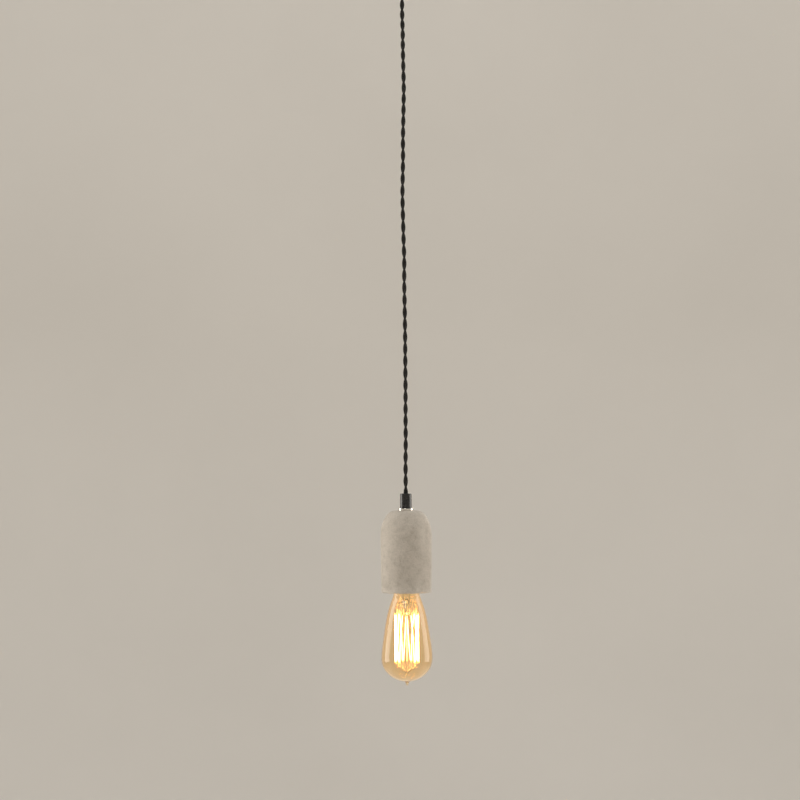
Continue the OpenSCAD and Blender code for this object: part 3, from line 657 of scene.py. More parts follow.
def strand_mesh(p, side, n=24):
    """A braided strand along p; side points away from the other strand, where it is rounder."""
    t, u, v = frames(p, side)
    along = np.concatenate([[0], np.cumsum(np.linalg.norm(np.diff(p, axis=0), axis=1))])
    a = np.arange(n) * TAU / n
    rr = STRAND_R * (1 + 0.012 * np.cos(a[None, :] * 2 + 0.6))
    lump = noise(np.stack([along, 0 * along, 0 * along], 1), 5.5, 11)
    rr = rr * (1 + 0.016 * lump[:, None])
    co = p[:, None] + rr[..., None] * (np.cos(a)[None, :, None] * u[:, None] + np.sin(a)[None, :, None] * v[:, None])
    # the braid turns with the strand's own frame, so the pattern is laid on evenly
    uv = np.stack(np.broadcast_arrays(a[None, :] / TAU, along[:, None] * MM), -1)
    return co, uv


GRID_A, UV_A = strand_mesh(STRAND_A, C_SIDE)
GRID_B, UV_B = strand_mesh(STRAND_B, -C_SIDE)


def cord_piece(name, z0, z1):
    """Both strands between two levels, closed by flat ends."""
    z = C_LINE[:, 2]
    i0, i1 = int(np.argmin(abs(z - z0))), int(np.argmin(abs(z - z1)))
    n = GRID_A.shape[1]
    co, uv, quads, tris, base = [], [], [], [], 0
    for g, w in ((GRID_A, UV_A), (GRID_B, UV_B)):
        g, w = g[i0 : i1 + 1], w[i0 : i1 + 1]
        m = len(g)
        seam = np.concatenate([g, g[:, :1]], 1)
        wrap = np.concatenate([w, w[:, :1] + [1, 0]], 1)
        co += [seam.reshape(-1, 3)]
        uv += [wrap.reshape(-1, 2)]
        quads.append(grid_faces(m, n + 1, wrap_v=False) + base)
        base += m * (n + 1)
        for row, flip in ((0, False), (m - 1, True)):
            centre = g[row].mean(0)
            ring = seam[row]
            co += [ring, centre[None]]
            uv += [wrap[row] + [0, 0], wrap[row].mean(0)[None]]
            i = np.arange(n)
            fan = np.stack([base + i + (0 if not flip else 1), base + i + (1 if not flip else 0), base + n + 1 + 0 * i], 1)
            tris.append(fan)
            base += n + 2
    ob = mesh_object(name, np.concatenate(co), np.concatenate(quads), np.concatenate(tris), uv=np.concatenate(uv))
    bm = bmesh.new()
    bm.from_mesh(ob.data)
    bmesh.ops.remove_doubles(bm, verts=bm.verts, dist=1e-7)
    bmesh.ops.recalc_face_normals(bm, faces=bm.faces)
    for e in bm.edges:
        if len(e.link_faces) == 2 and e.calc_face_angle(0) > 1.0:
            e.smooth = False
    bm.to_mesh(ob.data)
    bm.free()
    path = C_LINE[i0 : i1 + 1 : 4]
    if (i1 - i0) % 4:
        path = np.concatenate([path, C_LINE[i1 : i1 + 1]])
    length = float(np.linalg.norm(np.diff(path, axis=0), axis=1).sum())
    return ob, (path * MM).tolist(), length * MM, (C_LINE[i0] * MM).tolist()


Z_GRIP_IN, Z_BEND_1, Z_BEND_2, Z_FOOT_1 = Z_EXIT + 8, -86.0, -124.0, -655.0


def add_cord(name, z0, z1, replaced):
    ob, path, length, first = cord_piece(name, z0, z1)
    piece(ob, None, replaced, TEXTILE)
    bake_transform(ob)
    return ob


add_cord("cord_bend_upper", Z_GRIP_IN, Z_BEND_1, "cord_upper")
add_cord("cord_bend_second", Z_BEND_1, Z_BEND_2, "cord_swing_link")
add_cord("cord_twisted_length", Z_BEND_2, Z_FOOT_1, "cord_main")
add_cord("cord_bend_lower", Z_FOOT_1, Z_CORD_FOOT, ("cord_end_link", "cord_lower"))
inner = cord_piece("cord_in_ceiling_nipple", Z_CORD_TOP, Z_GRIP_IN)[0]
piece(inner, "ceiling_fitting", "cord_upper", TEXTILE)

# ------------------------------------------------------------------ ceiling fitting


def cutter(name, p, r, axis, length):
    """A round bar to cut a hole with, from point p along axis."""
    p, axis = np.array(p, float), np.array(axis, float)
    return tube(name, [p, p + axis * length * 0.5, p + axis * length], r, 32, caps=True, uv=False)


def cut(ob, tools):
    for t in tools:
        mod = ob.modifiers.new("cut", "BOOLEAN")
        mod.operation, mod.solver, mod.object = "DIFFERENCE", "EXACT", t
        bpy.context.view_layer.objects.active = ob
        bpy.ops.object.modifier_apply(modifier=mod.name)
        bpy.data.objects.remove(t, do_unlink=True)
    return ob


def crease(ob, degrees=38):
    """Sharp edges stay crisp on a smooth-shaded mesh."""
    bm = bmesh.new()
    bm.from_mesh(ob.data)
    limit = math.radians(degrees)
    for f in bm.faces:
        f.smooth = True
    for e in bm.edges:
        e.smooth = not (len(e.link_faces) == 2 and e.calc_face_angle(0) > limit)
    bm.to_mesh(ob.data)
    bm.free()
    return ob


rc, tw = R_CANOPY, 1.5
ztop, zlow = Z_CANOPY_TOP, Z_CANOPY
arc = [(rc - 5 + 5 * math.cos(math.radians(a)), zlow + 5 + 5 * math.sin(math.radians(a))) for a in range(-86, 1, 6)]
arc_in = [(rc - 5 + 3.5 * math.cos(math.radians(a)), zlow + 5 + 3.5 * math.sin(math.radians(a))) for a in range(0, -87, -6)]
outline = np.concatenate([
    refine(np.array([(5.2, zlow + 0.3), (5.5, zlow), (rc - 5.4, zlow)]), 3, False),
    arc,
    refine(np.array([(rc, zlow + 6), (rc, ztop - 0.4)]), 3, False), [(rc - 0.12, ztop - 0.12), (rc - 0.4, ztop)],
    [(rc - tw + 0.3, ztop), (rc - tw, ztop - 0.3)], refine(np.array([(rc - tw, ztop - 1.5), (rc - tw, zlow + 6)]), 4, False),
    arc_in, refine(np.array([(rc - 5.5, zlow + tw), (5.2, zlow + tw)]), 4, False),
])
canopy = lathe("canopy_shell", outline, 192)
cut(canopy, [cutter("hole", (s * (rc - 4), 0, -10), 1.7, (s, 0, 0), 8) for s in (-1, 1)])
piece(crease(canopy, 42), "ceiling_fitting", "canopy", CANOPY)


def washer_piece(name, node, mat_, body):
    lo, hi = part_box(node)
    z0, z1, r = lo.z / MM, hi.z / MM, hi.x / MM
    o = refine(rounded([(5.1, z0, 0.2), (r, z0, 0.55), (r, z1, 0.55), (5.1, z1, 0.2)], 5), 1.2)
    piece(lathe(name, o, 128), body, node, mat_)


washer_piece("upper_flange_washer", "upper_washer", POLISHED, "ceiling_fitting")
washer_piece("lamp_flange_washer", "flange_washer", POLISHED, "lamp")


def grip_piece(name, node, up, body):
    """A turned cord grip; its mouth faces up or down."""
    lo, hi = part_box(node)
    h, g = (hi.z - lo.z) / MM, 7.25
    pts = [
        (3.1, -0.15, 0.5), (g, 0, 0.9), (g, -h + 3.1, 0.3), (g + 0.15, -h + 2.6, 0.15), (g + 0.15, -h + 0.2, 0.25),
        (g - 0.3, -h, 0.15), (5.02, -h, 0.1), (5.02, -h + 9.5, 0.1), (3.1, -h + 9.5, 0.1),
    ]
    o = refine(rounded(pts, 5), 1.0)
    o[:, 1] = lo.z / MM - o[:, 1] if not up else hi.z / MM + o[:, 1]
    ob = lathe(name, o, 128)
    z = lo.z / MM + 4.6 if not up else hi.z / MM - 4.6
    cut(ob, [cutter("hole", (0, 4.2, z), 1.5, (0, 1, 0), 6)])
    return piece(crease(ob, 45), body, node, BLACK_METAL)


grip_piece("upper_cord_grip", "upper_grip", False, "ceiling_fitting")
grip_piece("lamp_cord_grip", "lower_grip", True, "lamp")


def core_piece(name, pts, node, mat_, body):
    piece(tube(name, catmull(pts, 10), 1.1, 20), body, node, mat_)
    p = np.array(pts, float)


zc = Z_CANOPY + 7.5
for s, mat_, name in ((1, BROWN, "supply_core_brown"), (-1, BLUE, "supply_core_blue")):
    core_piece(name, [(0, s * 1.4, zc), (-1, s * 1.8, zc + 4), (-6, s * 3, zc + 8), (-16, s * 5, -14), (-14, s * 8, -8),
                      (0, s * 8, -7), (11, s * 6, -13), (16, s * 5, -19), (17, s * 5, -20), (19.5, s * 5, -20)],
               "supply_cores", mat_, "ceiling_fitting")
zh, zi = Z_HOLDER_TOP, Z_INSERT_TOP
for s, mat_, name in ((1, BROWN, "lamp_core_brown"), (-1, BLUE, "lamp_core_blue")):
    core_piece(name, [(s * 1.4, 0, zh - 13.2), (s * 2, -0.5, zh - 15.5), (s * 5, -3, zi + 8.6), (s * 9, -7, zi + 6),
                      (s * 11, -8.5, zi + 3.4), (s * 11, -7, zi + 2.3), (s * 11, -3.2, zi + 2.2)],
               "lamp_cores", mat_, "lamp")

# ------------------------------------------------------------------ cast cup

RT, RB, RI, SH, ROOF = 13.8, 31.4, 24.0, 31.4, 11.5
STEP = 0.5


def cup_outline():
    side = [(RT + (R_CUP - RT) * math.cos(math.radians(a)), Z_CUP - SH * (1 - math.sin(math.radians(a)))) for a in np.arange(88, 0, -1.5)]
    rim = [(RB - 2 + 2 * math.cos(math.radians(a)), Z_RIM + 2 + 2 * math.sin(math.radians(a))) for a in np.arange(0, -91, -9)]
    mouth = [(RI + 1 + math.cos(math.radians(a)), Z_RIM + 1 + math.sin(math.radians(a))) for a in np.arange(-90, -181, -15)]
    zr = Z_CUP - ROOF
    dome = [(RI - 9 + 9 * math.cos(math.radians(a)), zr - 9 + 9 * math.sin(math.radians(a))) for a in np.arange(0, 91, 6)]
    flat = [(5.3, Z_CUP - 0.3), (5.7, Z_CUP), (RT - 1.4, Z_CUP), (RT - 0.3, Z_CUP - 0.10)]
    outer = refine(np.array(flat + side + rim), STEP, False)
    inside = refine(np.array(mouth + dome + [(5.9, zr), (5.3, zr + 0.4)]), 2.0, False)
    hole = refine(np.array([(5.3, zr + 1.2), (5.3, Z_CUP - 1.0)]), 2.0, False)
    return np.concatenate([outer, inside, hole]), len(outer)


OUTLINE, N_OUT = cup_outline()
rng = np.random.default_rng(17)


def cup_shape(co, a):
    """Cast surface: slow waviness, fine grain, air pinholes and a soft seam above the rim."""
    p = co.copy()
    flat = p.reshape(-1, 3)
    h = 0.11 * noise(flat, 26, 1) + 0.045 * noise(flat, 7.5, 2) + 0.022 * noise(flat, 2.6, 3) + 0.014 * noise(flat, 1.2, 4)
    up = flat[:, 2] - Z_RIM
    wob = 0.9 * noise(flat * [1, 1, 0], 18, 8)
    h += -0.055 * np.exp(-(((up - 7.2 - wob) / 0.7) ** 2)) + 0.035 * np.exp(-(((up - 9.0 - wob) / 1.2) ** 2))
    chip = noise(flat, 3.2, 21)
    h -= 0.20 * np.clip(chip - 0.35, 0, 1) * np.exp(-((up / 1.8) ** 2))
    h = h.reshape(p.shape[:2])
    # air holes, denser where the mould was filled last
    count = 260
    za = Z_RIM + 2 + (Z_CUP - Z_RIM - 6) * rng.random(count) ** 0.85
    ta = rng.random(count) * TAU
    size = 0.35 + 0.75 * rng.random(count) ** 3
    out = OUTLINE[:N_OUT]
    ring = np.interp(za, out[::-1, 1], out[::-1, 0])
    q = np.stack([ring * np.cos(ta), ring * np.sin(ta), za], 1)
    body = p[:N_OUT].reshape(-1, 3)
    dig = np.zeros(len(body))
    rows = np.repeat(OUTLINE[:N_OUT, 1], p.shape[1])
    for c, s in zip(q, size):
        near = np.nonzero(abs(rows - c[2]) < s * 1.8)[0]
        d = np.linalg.norm(body[near] - c, axis=1) / s
        dig[near] = np.maximum(dig[near], 0.55 * s * np.clip(1 - d * d, 0, 1) ** 0.8)
    h[:N_OUT] -= dig.reshape(N_OUT, -1)
    h[N_OUT:] *= 0.8
    # the clamped bearing faces and the bore stay true
    o = OUTLINE
    nrm = np.gradient(o, axis=0)
    nrm = np.stack([-nrm[:, 1], nrm[:, 0]], 1)
    nrm /= np.maximum(np.linalg.norm(nrm, axis=1), 1e-9)[:, None]
    keep = np.ones(len(o))
    keep[(o[:, 0] < 10.5)] = 0
    keep[N_OUT:] *= (o[N_OUT:, 0] > 12) * 0.7
    w = (h * keep[:, None])[..., None]
    c = np.stack([np.cos(a), np.sin(a)], -1)
    move = np.concatenate([nrm[:, None, :1] * c[None], np.broadcast_to(nrm[:, None, 1:], (*h.shape, 1))], -1)
    return p - w * move * SIGN


# the outline runs down the outside, so its outward side is found once here
probe = OUTLINE[N_OUT // 2 + 1] - OUTLINE[N_OUT // 2]
SIGN = 1.0 if -probe[1] < 0 else -1.0
cup = lathe("cast_cup", OUTLINE, 400, shape=cup_shape)
piece(cup, "lamp", "concrete_cup", CONCRETE)

# ------------------------------------------------------------------ lampholder

rh, zj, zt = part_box("holder_skirt")[1].x / MM, -778.0, Z_HOLDER_TOP
o = [(5.03, zt, 0.2), (8.3, zt, 0.5), (8.6, zt - 0.8, 0.3), (8.6, zt - 6.6, 1.2), (13, zt - 8, 1.5), (16.8, zt - 11, 1.5), (18.8, zt - 15, 1.5),
     (rh, zt - 19, 1.0), (rh, zj + 0.35, 0.3), (rh - 0.35, zj, 0.15), (rh - 1.1, zj, 0.1), (rh - 1.1, zj + 4, 0.1), (rh - 2.4, zj + 4, 0.1), (rh - 2.4, zt - 19, 0.8),
     (16.4, zt - 15.8, 1), (14.8, zt - 13, 1), (11.8, zt - 10.6, 1), (8, zt - 9, 0.3), (5.03, zt - 9, 0.2)]
piece(lathe("lampholder_cap", refine(rounded(o, 5), 1.5), 160), "lamp", "holder_cap", BAKELITE)
zs, zin = Z_SKIRT, Z_INSERT
o = [(14.7, zs + 0.3, 0.3), (15.1, zs, 0.3), (rh - 0.5, zs, 0.6), (rh, zs + 1.0, 0.5), (rh, zj - 0.35, 0.3), (rh - 0.35, zj, 0.15), (rh - 1.15, zj, 0.1), (rh - 1.15, zj + 3.8, 0.1),
     (rh - 2.2, zj + 3.8, 0.1), (rh - 2.2, zin - 0.05, 0.1), (15, zin - 0.05, 0.1), (15, zin - 2, 0.2), (rh - 2.2, zin - 3, 0.3), (rh - 2.2, zs + 3.4, 0.4), (14.7, zs + 2.4, 0.3)]
piece(lathe("lampholder_skirt", refine(rounded(o, 5), 1.5), 160), "lamp", "holder_skirt", BAKELITE)

E27_PITCH, MAJOR, MINOR, SHEET = 3.629, 13.1, 12.15, 0.32
MID, AMP = (MAJOR + MINOR) / 2, (MAJOR - MINOR) / 2


def rolled(name, rows, n=96):
    """A rolled-thread shell: rows are (radius, level, thread depth) round its closed outline."""
    rows = np.array(rows, float)
    a = np.arange(n) * TAU / n
    r = rows[:, 0][:, None] + rows[:, 2][:, None] * np.cos(TAU * rows[:, 1][:, None] / E27_PITCH - a[None, :])
    co = np.stack([r * np.cos(a), r * np.sin(a), np.broadcast_to(rows[:, 1][:, None], r.shape)], -1)
    uv = np.stack(np.broadcast_arrays(a[None, :] / TAU, rows[:, 1][:, None] * MM), -1).reshape(-1, 2)
    return mesh_object(name, co.reshape(-1, 3), grid_faces(len(rows), n, wrap_u=True), heal=True, uv=uv)


def thread_rows(r, z0, z1, side, fade=1.1, step=E27_PITCH / 18):
    """Rows of a rolled thread that fades out at both ends, clear of the crests it screws past."""
    k = max(2, int(round((z1 - z0) / step)))
    z = np.linspace(z0, z1, k + 1)
    w = np.clip(np.minimum(z - z0, z1 - z) / fade, 0, 1)
    w = w * w * (3 - 2 * w)
    return [(r + side * AMP * (1 - ww), zz, AMP * ww) for zz, ww in zip(z, w)]


GAP = 0.325
rin = MID + GAP
z0, z1 = Z_SKIRT + 3.8, Z_INSERT - 2.4
rows = [(rin + 0.5, Z_SKIRT + 3.6, 0)] + thread_rows(rin, z0, z1, 1)
rows += [(rin + 0.45, zin - 1.4, 0), (rin + 0.3, zin - 1, 0), (rin, zin - 0.65, 0), (rin - 0.6, zin - 0.45, 0), (11.2, zin - 0.4, 0), (10, zin - 0.4, 0), (10, zin, 0), (11.5, zin, 0), (rin - 0.1, zin, 0), (rin + 0.4, zin - 0.3, 0), (rin + 0.4 + SHEET, zin - 0.9, 0), (rin + 0.45 + SHEET, zin - 1.4, 0)]
rows += [(r + SHEET, z, d) for r, z, d in thread_rows(rin, z0, z1, 1)[::-1]] + [(rin + 0.5 + SHEET, Z_SKIRT + 3.6, 0)]
piece(rolled("lampholder_screw_shell", rows), "lamp", "holder_shell", CAP_BRASS)

# ------------------------------------------------------------------ bulb cap

zf, zc2 = Z_FLARE, Z_TIP - 4.6
z0, z1 = zf + 4.2, zc2 - 1.2
inner_rows = [(13.55, zf, 0), (13.45, zf + 1.2, 0), (13.3, zf + 2.2, 0), (12.6, zf + 3.1, 0)]
inner_rows += thread_rows(MID - SHEET, z0, z1, -1)
inner_rows += [(11.8, zc2 - 0.75, 0), (11.55, zc2 - SHEET - 0.12, 0), (11.2, zc2 - SHEET, 0), (9.5, zc2 - SHEET, 0)]
outer_rows = [(9.5, zc2, 0), (11.3, zc2, 0), (11.8, zc2 - 0.2, 0), (12.1, zc2 - 0.62, 0)]
outer_rows += thread_rows(MID, z0, z1, -1)[::-1]
outer_rows += [(12.95, zf + 3.2, 0), (13.55, zf + 2.4, 0), (13.75, zf + 1.2, 0), (13.87, zf, 0)]
piece(rolled("bulb_screw_cap", inner_rows + outer_rows), "bulb", "bulb_cap", CAP_BRASS)
o = [(4.2, Z_TIP - 6, 0.1), (4.2, Z_TIP - 1.25, 0.15), (5.3, Z_TIP - 1.2, 0.3), (6.2, Z_TIP - 1.6, 0.6), (9.3, Z_TIP - 4.2, 0.35), (9.3, Z_TIP - 6, 0.1)]
piece(lathe("cap_insulating_ring", refine(rounded(o, 5), 0.8), 112), "bulb_collar", "cap_insulator", VITRITE)


def blob(co, a):
    """Solder sets in uneven ripples."""
    p = co.reshape(-1, 3)
    r = np.hypot(p[:, 0], p[:, 1])
    p = p + np.stack([0 * r, 0 * r, -0.09 * (0.5 + 0.5 * noise(p, 2.1, 31)) * (r > 0.4) * (p[:, 2] > Z_TIP - 1.1)], 1)
    return p.reshape(co.shape)


o = np.array([(0, Z_TIP - 0.03), (0.8, Z_TIP - 0.04), (1.5, Z_TIP - 0.07), (2.4, Z_TIP - 0.18), (3.4, Z_TIP - 0.42), (4.3, Z_TIP - 0.74), (4.85, Z_TIP - 1.0), (4.92, Z_TIP - 1.1), (4.8, Z_TIP - 1.15),
              (4.1, Z_TIP - 1.17), (4.1, Z_TIP - 3.6), (4.1, Z_TIP - 6.2), (0, Z_TIP - 6.2)])
tip = lathe("cap_solder_tip", refine(o, 0.5, False), 96, shape=blob)
piece(tip, "bulb", "cap_contact", SOLDER)

# ------------------------------------------------------------------ glass


def gz(d):
    return Z_RIM - d


PROFILE = [(-19, 11.2), (-12, 11.3), (-7, 11.6), (-5.6, 12.8), (-4, 15.0), (-2, 16.1), (0, 16.35), (3, 16.5), (6, 17.3), (10, 18.8), (15, 20.6), (20, 22.3),
           (30, 24.9), (40, 26.8), (50, 28.4), (60, 29.9), (70, 31.3), (78, 32.0), (83, 32.15), (88, 31.7), (93, 30.2), (98, 27.5), (103, 23.2), (107, 17.9), (110, 11.5), (111.6, 5.5)]
PIP = [(112.2, 3.4), (113, 2.4), (114.2, 2.1), (115.6, 1.7), (116.6, 1.0), (117, 0)]
wall = catmull(np.array(PROFILE), 6)
pip = catmull(np.array([PROFILE[-2], PROFILE[-1]] + PIP), 5)[6:]
pip[-1] = (117, 0)
outer = np.concatenate([wall, pip])[:, ::-1]
outer = np.stack([outer[:, 0], gz(outer[:, 1])], 1)
w = np.stack([wall[:, 1], gz(wall[:, 0])], 1)
t = np.gradient(w, axis=0)
t /= np.linalg.norm(t, axis=1)[:, None]
within = w + 0.8 * np.stack([t[:, 1], -t[:, 0]], 1)
within[0] = (w[0, 0] - 0.8, w[0, 1])
within = within[within[:, 0] > 4.0]
base = np.array([(2.6, gz(111.1)), (1.2, gz(111.35)), (0, gz(111.4))])
outline = np.concatenate([base[::-1], within[::-1], outer])


def blown(co, a):
    """Hand-drawn glass is a hair out of round."""
    p = co.reshape(-1, 3)
    up = np.clip((Z_RIM + 2 - p[:, 2]) / 20, 0, 1)
    k = 1 + up * 0.0035 * noise(p, 34, 41)
    return (p * np.stack([k, k, 0 * k + 1], 1)).reshape(co.shape)


def lathe_open(name, outline, n=128, shape=None):
    """A solid of revolution whose outline starts and ends on the axis."""
    outline = np.asarray(outline, float)
    a = np.arange(n) * TAU / n
    r, z = np.maximum(outline[:, 0], 0)[:, None], outline[:, 1][:, None]
    co = np.stack([r * np.cos(a), r * np.sin(a), z + 0 * a], -1)
    if shape is not None:
        co = shape(co, a)
    along = np.concatenate([[0], np.cumsum(np.linalg.norm(np.diff(outline, axis=0), axis=1))])
    uv = np.stack(np.broadcast_arrays(a[None, :] / TAU, along[:, None] * MM), -1).reshape(-1, 2)
    return mesh_object(name, co.reshape(-1, 3), grid_faces(len(outline), n), heal=True, uv=uv)


piece(lathe_open("glass_envelope", outline, 160, blown), "bulb", "bulb_glass", AMBER)

stem = [(0, 2), (2.2, 1.4), (3.6, 0.5), (4.1, -1), (4.3, -4), (5.0, -7.4), (5.8, -10.4), (7.2, -14), (8.6, -17), (9.2, -18.6), (9.7, -18.75), (10.2, -18.6), (9.4, -16), (8.0, -12.6),
        (6.8, -10), (5.9, -6.8), (5.4, -4), (5.3, -1), (5.2, 1), (4.2, 4.6), (3.4, 7), (3.15, 9), (3.15, 11.3), (3.5, 11.9), (3.85, 12.6), (3.95, 13.5), (3.85, 14.4), (3.5, 15.1),
        (3.15, 15.7), (3.15, 19), (3.15, 23.6), (3.0, 24.05), (2.6, 24.1), (2.3, 23.8), (2.3, 19), (2.3, 12), (2.3, 9.6), (1.6, 8.8), (0, 8.5)]
stem = catmull(np.array(stem), 3)
stem[:, 0] = np.maximum(stem[:, 0], 0)
stem[0, 0] = stem[-1, 0] = 0


def press(co, a):
    """The hot flare is pressed flat round the two lead wires."""
    p = co.copy()
    d = Z_RIM - p[..., 2]
    w = np.clip((d + 1.5) / 3.5, 0, 1) * np.clip((10.8 - d) / 2.2, 0, 1)
    w = w * w * (3 - 2 * w)
    r = np.hypot(p[..., 0], p[..., 1])
    flat = (np.abs(np.cos(a) / 5.6) ** 4 + np.abs(np.sin(a) / 2.4) ** 4) ** -0.25
    flat = np.broadcast_to(flat[None, :], r.shape)
    outside = np.zeros(len(p))
    outside[OUT_FROM:OUT_TO] = 1
    new = r + (flat - r) * w * outside[:, None] * (r > 2.6)
    k = new / np.maximum(r, 1e-6)
    p[..., 0] *= k
    p[..., 1] *= k
    return p


OUT_FROM = 11 * 3
OUT_TO = 23 * 3
stem = np.stack([stem[:, 0], gz(stem[:, 1])], 1)
piece(lathe_open("glass_stem", stem, 96, press), "bulb", "bulb_stem", CLEAR)

Z_TOP_RING, Z_LOW_RING, Z_BEAD, Z_FOOT = gz(27), gz(88), gz(27.6), gz(101)
bead = [(0, Z_BEAD - 2.62)] + [(2.7 * math.cos(math.radians(x)), Z_BEAD + 2.62 * math.sin(math.radians(x))) for x in range(-81, 28, 9)]
bead += [(2.27, Z_BEAD + 1.6), (2.24, Z_BEAD + 2.4), (2.22, Z_BEAD + 3.5), (2.0, Z_BEAD + 3.95), (1.2, Z_BEAD + 4.08), (0, Z_BEAD + 4.1)]
piece(lathe_open("upper_glass_button", catmull(np.array(bead), 2).clip([0, -2000], [99, 0]), 72), "bulb", "upper_button", CLEAR)
bead = [(0, Z_FOOT - 2.35)] + [(2.4 * math.cos(math.radians(x)), Z_FOOT + 2.35 * math.sin(math.radians(x))) for x in range(-81, 82, 9)] + [(0, Z_FOOT + 2.35)]
piece(lathe_open("lower_glass_button", bead, 72), "bulb", "lower_button", CLEAR)
zr = np.linspace(Z_BEAD - 2.75, Z_FOOT + 2.5, 48)
rod = np.stack([0.10 * np.sin((zr - Z_FOOT) / 9.5), 0.08 * np.cos((zr - Z_FOOT) / 13), zr], 1)
piece(tube("glass_centre_rod", rod, 1.15 + 0.05 * np.sin(zr / 6), 32, uv=False), "bulb", "centre_rod", CLEAR)

# ------------------------------------------------------------------ filament cage

LOOPS, CAGE_R, COIL_R = 8, 15.0, 0.45


def hook(k, z, f=1.0):
    a = math.radians(-90 + 360 * (k + 1) / (2 * LOOPS + 2))
    return np.array([f * CAGE_R * math.cos(a), f * CAGE_R * math.sin(a), z])


wires = []
for s in (1, -1):
    e, x = hook(0 if s > 0 else 2 * LOOPS, 0), s * 3.9
    p = [(x, 0, gz(-2.6)), (x, 0, gz(4)), (x, 0, gz(10.4)), (x + s * 0.6, e[1] * 0.12, gz(13)), (x + s * 1.0, e[1] * 0.6, gz(16)),
         (e[0] + s * 0.2, e[1] * 0.94, gz(20)), (e[0], e[1] * 0.99, Z_TOP_RING + 2.6), (e[0], e[1], Z_TOP_RING + 0.2)]
    wires.append(tube("lead", catmull(p, 10), 0.32, 14, uv=False))
    crimp = [(e[0], e[1], Z_TOP_RING + z) for z in (2.4, 1.6, 0.6, -0.2)]
    wires.append(tube("crimp", crimp, [0.62, 0.66, 0.66, 0.62], 20, uv=False))
piece(join("lead_wire_pair", wires), "bulb", "lead_wires", WIRE)

wires = []
for k in range(2, 2 * LOOPS - 1, 2):
    f = lambda g, z: hook(k, z, g)
    b = Z_TOP_RING
    p = [f(0.19, gz(13.5)), f(0.34, gz(12.75)), f(0.5, gz(12.5)), f(0.82, gz(13.6)), f(0.97, gz(17.5)), f(1.035, b + 3.2), f(1.052, b + 0.9), f(1.045, b - 0.35),
         f(1.0, b - 0.95), f(0.955, b - 0.4), f(0.945, b + 0.5)]
    wires.append(tube("hanger", catmull(p, 8), 0.25, 12, uv=False))
piece(join("upper_support_wires", wires), "bulb", "upper_supports", WIRE)

wires = []
for k in range(1, 2 * LOOPS, 2):
    f = lambda g, z: hook(k, z, g)
    b = Z_LOW_RING
    p = [f(0.10, Z_FOOT + 0.3), f(0.2, Z_FOOT + 1.1), f(0.35, Z_FOOT + 2.4), f(0.84, b - 4.4), f(0.93, b - 2.2), f(0.948, b - 0.5), f(0.958, b + 0.4), f(1.0, b + 0.95),
         f(1.045, b + 0.35), f(1.052, b - 0.5)]
    wires.append(tube("stay", catmull(p, 8), 0.25, 12, uv=False))
piece(join("lower_support_wires", wires), "bulb", "lower_supports", WIRE)


def filament_path():
    """The zigzag line of the coil, with small round bends and a slight heat sag in each run."""
    jig = np.random.default_rng(5)
    pts = []
    ends = []
    for k in range(2 * LOOPS + 1):
        up = 1 if k % 2 == 0 else -1
        c = hook(k, Z_TOP_RING if up > 0 else Z_LOW_RING)
        e = np.cross([0, 0, 1], [c[0], c[1], 0])
        e /= np.linalg.norm(e)
        if k in (0, 2 * LOOPS):
            ends.append([c])
            continue
        bend = []
        for x in np.linspace(-90, 90, 13):
            x = math.radians(x)
            bend.append(c - np.array([0, 0, up * 0.8]) + 0.8 * (e * math.sin(x) + np.array([0, 0, up]) * math.cos(x)))
        ends.append(bend)
    for k, bend in enumerate(ends):
        pts += list(bend)
        if k < len(ends) - 1:
            a, b = bend[-1], ends[k + 1][0]
            m = np.array([a[0] + b[0], a[1] + b[1], 0])
            out = m / np.linalg.norm(m)
            side = np.cross([0, 0, 1], out)
            bow, drift = jig.uniform(-0.9, 0.5), jig.uniform(-1.1, 1.1)
            for s in np.linspace(0, 1, 62)[1:-1]:
                pts.append(a + (b - a) * s + math.sin(math.pi * s) ** 1.3 * (out * bow + side * drift))
    return np.array(pts)


def coil(name, line, radius, wire, pitch, n=9, sides=5):
    """A fine wire wound round a line."""
    seg = np.concatenate([[0], np.cumsum(np.linalg.norm(np.diff(line, axis=0), axis=1))])
    total = seg[-1]
    s = np.linspace(0, total, int(total / pitch * n))
    p = np.stack([np.interp(s, seg, line[:, i]) for i in range(3)], 1)
    t = np.gradient(p, axis=0)
    t /= np.linalg.norm(t, axis=1)[:, None]
    out = p * [1, 1, 0]
    u = out - (out * t).sum(1)[:, None] * t
    u /= np.linalg.norm(u, axis=1)[:, None]
    v = np.cross(t, u)
    a = TAU * s / pitch
    q = p + radius * (np.cos(a)[:, None] * u + np.sin(a)[:, None] * v)
    t2, u2, v2 = frames(q, p - q)
    b = np.arange(sides) * TAU / sides
    co = q[:, None] + wire * (np.cos(b)[None, :, None] * u2[:, None] + np.sin(b)[None, :, None] * v2[:, None])
    m = len(q)
    quads = grid_faces(m, sides)
    ends = [[i, i + 1, 0] for i in range(1, sides - 1)] + [[(m - 1) * sides, (m - 1) * sides + i, (m - 1) * sides + i + 1] for i in range(1, sides - 1)]
    return mesh_object(name, co.reshape(-1, 3), quads, ends, heal=False)


FIL = filament_path()
fil = coil("filament_coil", FIL, COIL_R - 0.12, 0.12, 0.5)
bm = bmesh.new()
bm.from_mesh(fil.data)
bmesh.ops.recalc_face_normals(bm, faces=bm.faces)
bm.to_mesh(fil.data)
bm.free()
piece(fil, "bulb", "filament", filament_mat(Z_LOW_RING * MM, Z_TOP_RING * MM))

# ------------------------------------------------------------------ CAD pieces that keep their own mesh

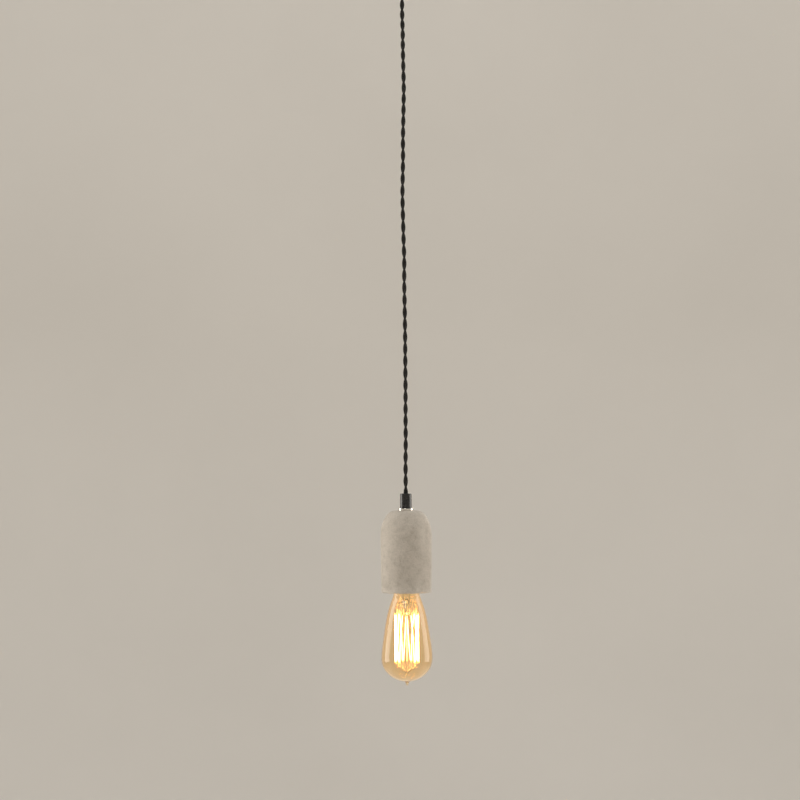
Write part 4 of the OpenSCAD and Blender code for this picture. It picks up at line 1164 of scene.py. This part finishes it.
for n, m in {
    "ceiling_bracket": STRAP, "canopy_screws": ZINC, "upper_grip_screw": DARK_STEEL, "lower_grip_screw": DARK_STEEL,
    "upper_nipple": ZINC, "lamp_nipple": ZINC, "upper_locknut": ZINC, "lamp_locknut": ZINC, "terminal_block": NYLON,
    "terminal_block_clamps": BRASS, "terminal_block_screws": ZINC, "holder_insert": PORCELAIN, "side_contact": BRASS,
    "contact_rivet": BRASS, "holder_terminals": BRASS, "holder_terminal_screws": ZINC, "centre_contact": BRASS,
}.items():
    paint(NODES[n], m)
for n, o in NODES.items():
    if not o.material_slots or o.material_slots[0].material is None:
        paint(o, ZINC)

# ------------------------------------------------------------------ studio

room = [(r, -2200) for r in np.linspace(0, 4200, 12)]
room += [(4200 + 1900 * math.sin(x), -300 - 1900 * math.cos(x)) for x in np.linspace(0.02, math.pi / 2, 56)]
room += [(6100, z) for z in np.linspace(-200, 3600, 14)]
room = np.array(room, float)
a = np.arange(160) * TAU / 160
co = np.stack([room[:, :1] * np.cos(a), room[:, :1] * np.sin(a), room[:, 1:] + 0 * a], -1)
wall_mat = Mat("pale_plaster", Roughness=0.9, Specular_IOR_Level=0.2)
v = wall_mat.coords()
wall_mat.to(wall_mat.ramp(wall_mat.noise(v, 1.1, 4, 0.5), [(0.3, (0.715, 0.69, 0.65)), (0.7, (0.745, 0.72, 0.68))]), "Base Color")
backdrop = mesh_object("backdrop", co.reshape(-1, 3), grid_faces(len(room), 160), heal=True)
for poly in backdrop.data.polygons:
    poly.use_smooth = True
paint(backdrop, wall_mat)


def area(name, where, at, size, watts, colour=(1, 1, 1)):
    l = bpy.data.lights.new(name, "AREA")
    l.shape = "RECTANGLE"
    l.size, l.size_y = size
    l.energy, l.color = watts, colour
    ob = bpy.data.objects.new(name, l)
    bpy.context.scene.collection.objects.link(ob)
    ob.location = where
    ob.rotation_mode = "QUATERNION"
    ob.rotation_quaternion = (Vector(at) - Vector(where)).to_track_quat("-Z", "Y")
    ob.visible_camera = False
    ob.visible_transmission = False
    return ob


area("side_left", (-2.62, 0.55, -0.2), (0, 0, -0.7), (1.6, 2.6), 50, (1, 0.955, 0.895))
area("side_right", (2.66, 0.6, -0.2), (0, 0, -0.7), (1.6, 2.6), 42, (1, 0.955, 0.895))
area("top_front", (-0.9, -2.6, 1.9), (0, 0, -0.4), (1.4, 1.4), 40, (1, 0.97, 0.93))
area("back", (1.3, 2.7, 0.6), (0, 0, -0.6), (1.2, 1.6), 34, (1, 0.97, 0.93))
for i, watts in enumerate((30, 24, 16, 24)):
    x, y = math.sin(i * TAU / 4), math.cos(i * TAU / 4)
    area("wash_" + str(i), (3.3 * x, 3.3 * y, 2.6), (6.1 * x, 6.1 * y, -1.0), (4.2, 1.6), watts, (1, 0.97, 0.925))

world = bpy.data.worlds.new("studio")
bpy.context.scene.world = world
world.use_nodes = True
bg = world.node_tree.nodes["Background"]
bg.inputs[0].default_value = (1.0, 0.975, 0.94, 1)
bg.inputs[1].default_value = 0.42

scene = bpy.context.scene
scene.view_settings.view_transform = "Standard"
scene.view_settings.look = "None"
scene.view_settings.exposure = 0.0
